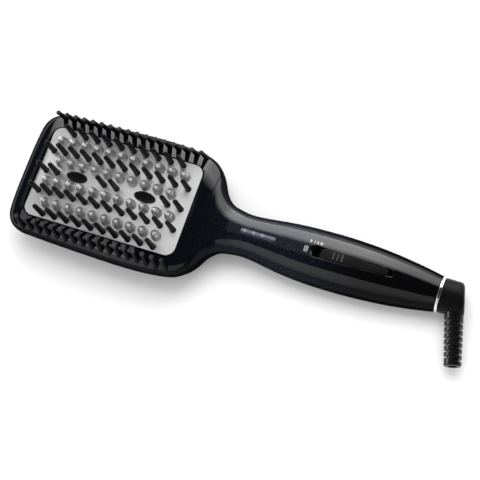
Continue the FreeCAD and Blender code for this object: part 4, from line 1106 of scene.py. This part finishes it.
@dataclass
class Insides(SubAssembly):
    """What the shells hold: chrome ring, heaters, boards, switch, generator, brushes, wires."""

    heater_wires: int = 4

    def dress(self) -> list[Piece]:
        """See base class."""
        self.skins = {"chrome_ring": "ring_chrome"}
        self.kept = {
            "ceramic_heater_1": "heater_ceramic",
            "ceramic_heater_2": "heater_ceramic",
            "mica_sheet": "mica",
            "clamp_plate": "stack_steel",
            "heater_tray": "tray_plastic",
            "thermistor": "sensor_glass",
            "thermal_fuse": "fuse_metal",
            "ion_generator": "generator_resin",
            "control_board": "board_black",
            "led_board": "board_black",
            "relay": "relay_black",
            "switch_housing": "relay_black",
            "capacitor": "capacitor_sleeve",
            "indicator_leds": "lamp_white",
            "brush_holder": "cap_black",
            "brush_contacts": "contact_brass",
            "thermistor_lead": "lead_grey",
            "fuse_lead": "lead_grey",
            "led_lead": "lead_grey",
            "ion_feed_lead": "lead_red",
            "ion_needle_lead_1": "lead_red",
            "ion_needle_lead_2": "lead_red",
            "mains_wire_live": "mains_brown",
            "mains_wire_neutral": "mains_blue",
        }
        self.kept |= {f"heater_wire_{i + 1}": "wire_white" for i in range(self.heater_wires)}
        return super().dress()


@dataclass(frozen=True)
class Softbox:
    """One soft area light.

    Attributes:
        place: Where its middle is, in metres.
        size: Its length and height.
        radiance: How bright its face looks at most, where 1 is white.
        level: Whether it hangs level instead of facing the object.
        profile: Places along its length, from 0 to 1, each with its share of the radiance.
        heading: Which way its length runs in plan, in degrees from +X.
        fade: Share of its height over which it fades out at its upper edge.
        lights: The one piece that it lights, if not all.
        skips: The one piece that it doesn't light, if any.
    """

    name: str
    role: Role
    place: Point
    size: Span
    radiance: float
    level: bool = False
    profile: tuple[Span, ...] = ((0.0, 1.0), (1.0, 1.0))
    heading: float = 0.0
    fade: float = 0.0
    lights: str = ""
    skips: str = ""

    def shade(self, lamp: bpy.types.AreaLight) -> None:
        """Fades the light along its length as the profile says, and at its upper edge.

        Args:
            lamp: The light's data.
        """
        lamp.use_nodes = True
        graph = Graph(lamp.node_tree)
        where = graph.split(graph.add("ShaderNodeNewGeometry").outputs["Parametric"])
        ramp = graph.add("ShaderNodeValToRGB")
        stops = ramp.color_ramp.elements
        while len(stops) < len(self.profile):
            stops.new(0.5)
        for stop, (spot, share) in zip(stops, self.profile):
            stop.position = spot
            stop.color = (*grey(share), 1.0)
        graph.feed(ramp.inputs["Fac"], where["X"])
        glow = graph.add("ShaderNodeEmission", {"Color": ramp.outputs["Color"]})
        if self.fade:
            strength = graph.spread(where["Y"], (0.0, self.fade), RISE)
            graph.feed(glow.inputs["Strength"], strength)
        graph.add("ShaderNodeOutputLight", {"Surface": glow.outputs["Emission"]})

    def link(self, piece: Piece) -> None:
        """Keeps the light to the one piece that it lights, or off the one that it skips.

        Args:
            piece: The light's object.
        """
        picked = bpy.data.collections.new(f"{self.name}_picks")
        picked.objects.link(bpy.data.objects[self.lights or self.skips])
        state = "INCLUDE" if self.lights else "EXCLUDE"
        picked.collection_objects[0].light_linking.link_state = state
        piece.light_linking.receiver_collection = picked

    def build(self, target: Vector) -> Piece:
        """Adds the light.

        Args:
            target: The point that it faces, unless it hangs level.

        Returns:
            The light's object.
        """
        lamp = bpy.data.lights.new(self.name, "AREA")
        lamp.shape = "RECTANGLE"
        lamp.size, lamp.size_y = self.size
        lamp.energy = self.radiance * math.pi * self.size[0] * self.size[1]
        self.shade(lamp)
        piece = bpy.data.objects.new(self.name, lamp)
        bpy.context.scene.collection.objects.link(piece)
        place = Vector(self.place)
        back = Vector((0.0, 0.0, 1.0)) if self.level else (place - target).normalized()
        turn = math.radians(self.heading)
        way = Vector((math.cos(turn), math.sin(turn), 0.0))
        along = (way - back * way.dot(back)).normalized()
        axes = Matrix((along, back.cross(along), back)).transposed()
        piece.matrix_world = Matrix.Translation(place) @ axes.to_4x4()
        piece.visible_camera = False
        piece.visible_diffuse = self.role is Role.KEY
        piece.visible_glossy = self.role is Role.GLOSS
        if self.lights or self.skips:
            self.link(piece)
        return piece


SOFTBOXES = (
    Softbox("sky_panel", Role.KEY, (0.10, 0.40, 1.05), (0.8, 0.7), 3.9),
    Softbox(
        "window_side", Role.GLOSS, (0.075, 0.758, 0.515), (2.05, 0.98), 5.0,
        fade=0.30, skips=PLATE,
        profile=((0.0, 0.3), (0.5, 1.0), (0.56, 0.8), (0.62, 0.56), (1.0, 0.5)),
    ),
    Softbox(
        "relief_side", Role.GLOSS, (-0.95, 0.0, 0.35), (0.9, 0.4), 9.0,
        heading=90.0, lights=RELIEF,
    ),
    Softbox(
        "head_panel", Role.GLOSS, (-0.54, 0.29, 0.88), (1.12, 0.86), 0.25,
        level=True, skips=PLATE,
    ),
    Softbox(
        "plate_panel", Role.GLOSS, (-0.30, 0.20, 0.90), (1.7, 1.5), 0.85,
        level=True, lights=PLATE,
        profile=((0.0, 0.25), (0.30, 0.42), (0.62, 1.0), (1.0, 1.0)),
    ),
    Softbox(
        "stud_light", Role.GLOSS, (-0.88, 0.47, 0.36), (0.7, 0.5), 3.4,
        heading=60.0, lights=PLATE,
    ),
    Softbox(
        "head_low_panel", Role.GLOSS, (-0.47, -0.50, 0.80), (0.40, 0.60), 1.3, skips=PLATE
    ),
    Softbox(
        "near_side", Role.GLOSS, (0.0, -0.795, 0.44), (1.5, 0.72), 0.9, skips=PLATE,
        profile=((0.0, 1.0), (0.45, 1.0), (0.58, 0.65), (1.0, 0.6)),
    ),
)


@dataclass
class Studio:
    """Camera, softboxes, floor and surrounding light.

    Lens and sensor are in millimetres, and other lengths in metres.

    Attributes:
        target: The point that the softboxes face.
        paper: Darkest and lightest grey of the floor.
        paper_scale: Scale of the changes between them, per metre.
        fill: Light from all round on matt surfaces.
        horizon: Upward parts of a ray between which the surroundings turn dark.
        overhead: How bright they look overhead.
    """

    eye: Point = (0.268239, -0.164146, 0.697319)
    right: Point = (0.92682, 0.33221, -0.17503)
    up: Point = (-0.2738, 0.91688, 0.29045)
    lens: float = 90.0
    sensor: float = 36.0
    clip: Span = (0.01, 60.0)
    target: Point = (0.08, 0.0, 0.02)
    floor_size: float = 14.0
    floor_level: float = -0.0002
    paper: Span = (0.80, 0.82)
    paper_scale: float = 14.0
    fill: float = 0.80
    horizon: Span = (0.04, 0.20)
    overhead: float = 0.02
    softboxes: tuple[Softbox, ...] = SOFTBOXES

    def camera(self) -> None:
        """Stands the camera where the photograph was taken from."""
        data = bpy.data.cameras.new("photo_camera")
        data.lens = self.lens
        data.sensor_width = self.sensor
        data.clip_start, data.clip_end = self.clip
        piece = bpy.data.objects.new("photo_camera", data)
        bpy.context.scene.collection.objects.link(piece)
        right = Vector(self.right).normalized()
        up = (Vector(self.up) - right * right.dot(Vector(self.up))).normalized()
        turn = Matrix((right, up, right.cross(up))).transposed()
        piece.matrix_world = Matrix.Translation(Vector(self.eye)) @ turn.to_4x4()
        bpy.context.scene.camera = piece

    def floor(self) -> None:
        """Lays the pale floor, which looks white and keeps the shadow."""
        bpy.ops.object.select_all(action="DESELECT")
        bpy.ops.mesh.primitive_plane_add(
            size=self.floor_size, location=(0.0, 0.0, self.floor_level)
        )
        piece = bpy.context.object
        piece.name = "studio_floor"
        material = bpy.data.materials.new("studio_floor")
        material.use_nodes = True
        graph = Graph(material.node_tree)
        tone = graph.spread(graph.noise(graph.place(), self.paper_scale), SOFT_NOISE, RISE)
        pale = graph.tint(tone, *(grey(level) for level in self.paper))
        paper = graph.add("ShaderNodeBsdfDiffuse")
        graph.feed(paper.inputs["Color"], graph.tint(self.seen(graph), pale, grey(1.0)))
        graph.add("ShaderNodeOutputMaterial", {"Surface": paper.outputs["BSDF"]})
        piece.data.materials.append(material)

    @staticmethod
    def seen(graph: Graph) -> Socket:
        """Adds a mask of the rays that look at things.

        Args:
            graph: The graph that gets it.

        Returns:
            A socket that is 1 for camera, glossy and transmission rays.
        """
        rays = graph.add("ShaderNodeLightPath").outputs
        first = graph.maths("MAXIMUM", rays["Is Camera Ray"], rays["Is Glossy Ray"])
        return graph.maths("MAXIMUM", first, rays["Is Transmission Ray"])

    def world(self) -> None:
        """Surrounds the object with even fill, seen as white at the horizon and dark overhead."""
        world = bpy.data.worlds.new("studio")
        bpy.context.scene.world = world
        world.use_nodes = True
        graph = Graph(world.node_tree)
        where = graph.split(graph.add("ShaderNodeTexCoord").outputs["Generated"])
        height = graph.spread(where["Z"], self.horizon, (1.0, self.overhead))
        same = {"Red": height, "Green": height, "Blue": height}
        sky = graph.add("ShaderNodeCombineColor", same)
        colour = graph.tint(self.seen(graph), grey(self.fill), sky.outputs["Color"])
        back = graph.add("ShaderNodeBackground", {"Color": colour})
        graph.add("ShaderNodeOutputWorld", {"Surface": back.outputs["Background"]})

    def build(self) -> None:
        """Builds the studio."""
        self.camera()
        self.floor()
        self.world()
        for softbox in self.softboxes:
            LOG.info("lit %s", softbox.build(Vector(self.target)).name)
        bpy.context.scene.view_settings.view_transform = "Standard"


def main() -> None:
    """Loads the frame, dresses each sub-assembly and builds the studio."""
    logging.basicConfig(level=logging.INFO, format="%(message)s")
    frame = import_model()
    paints = Paintbox()
    assemblies = (Head, Handle, Slider, CordEnd, Insides)
    for assembly in assemblies:
        pieces = assembly(frame, paints).dress()
        LOG.info("%s has %d new pieces", assembly.__name__, len(pieces))
    Studio().build()


if __name__ == "__main__":
    main()
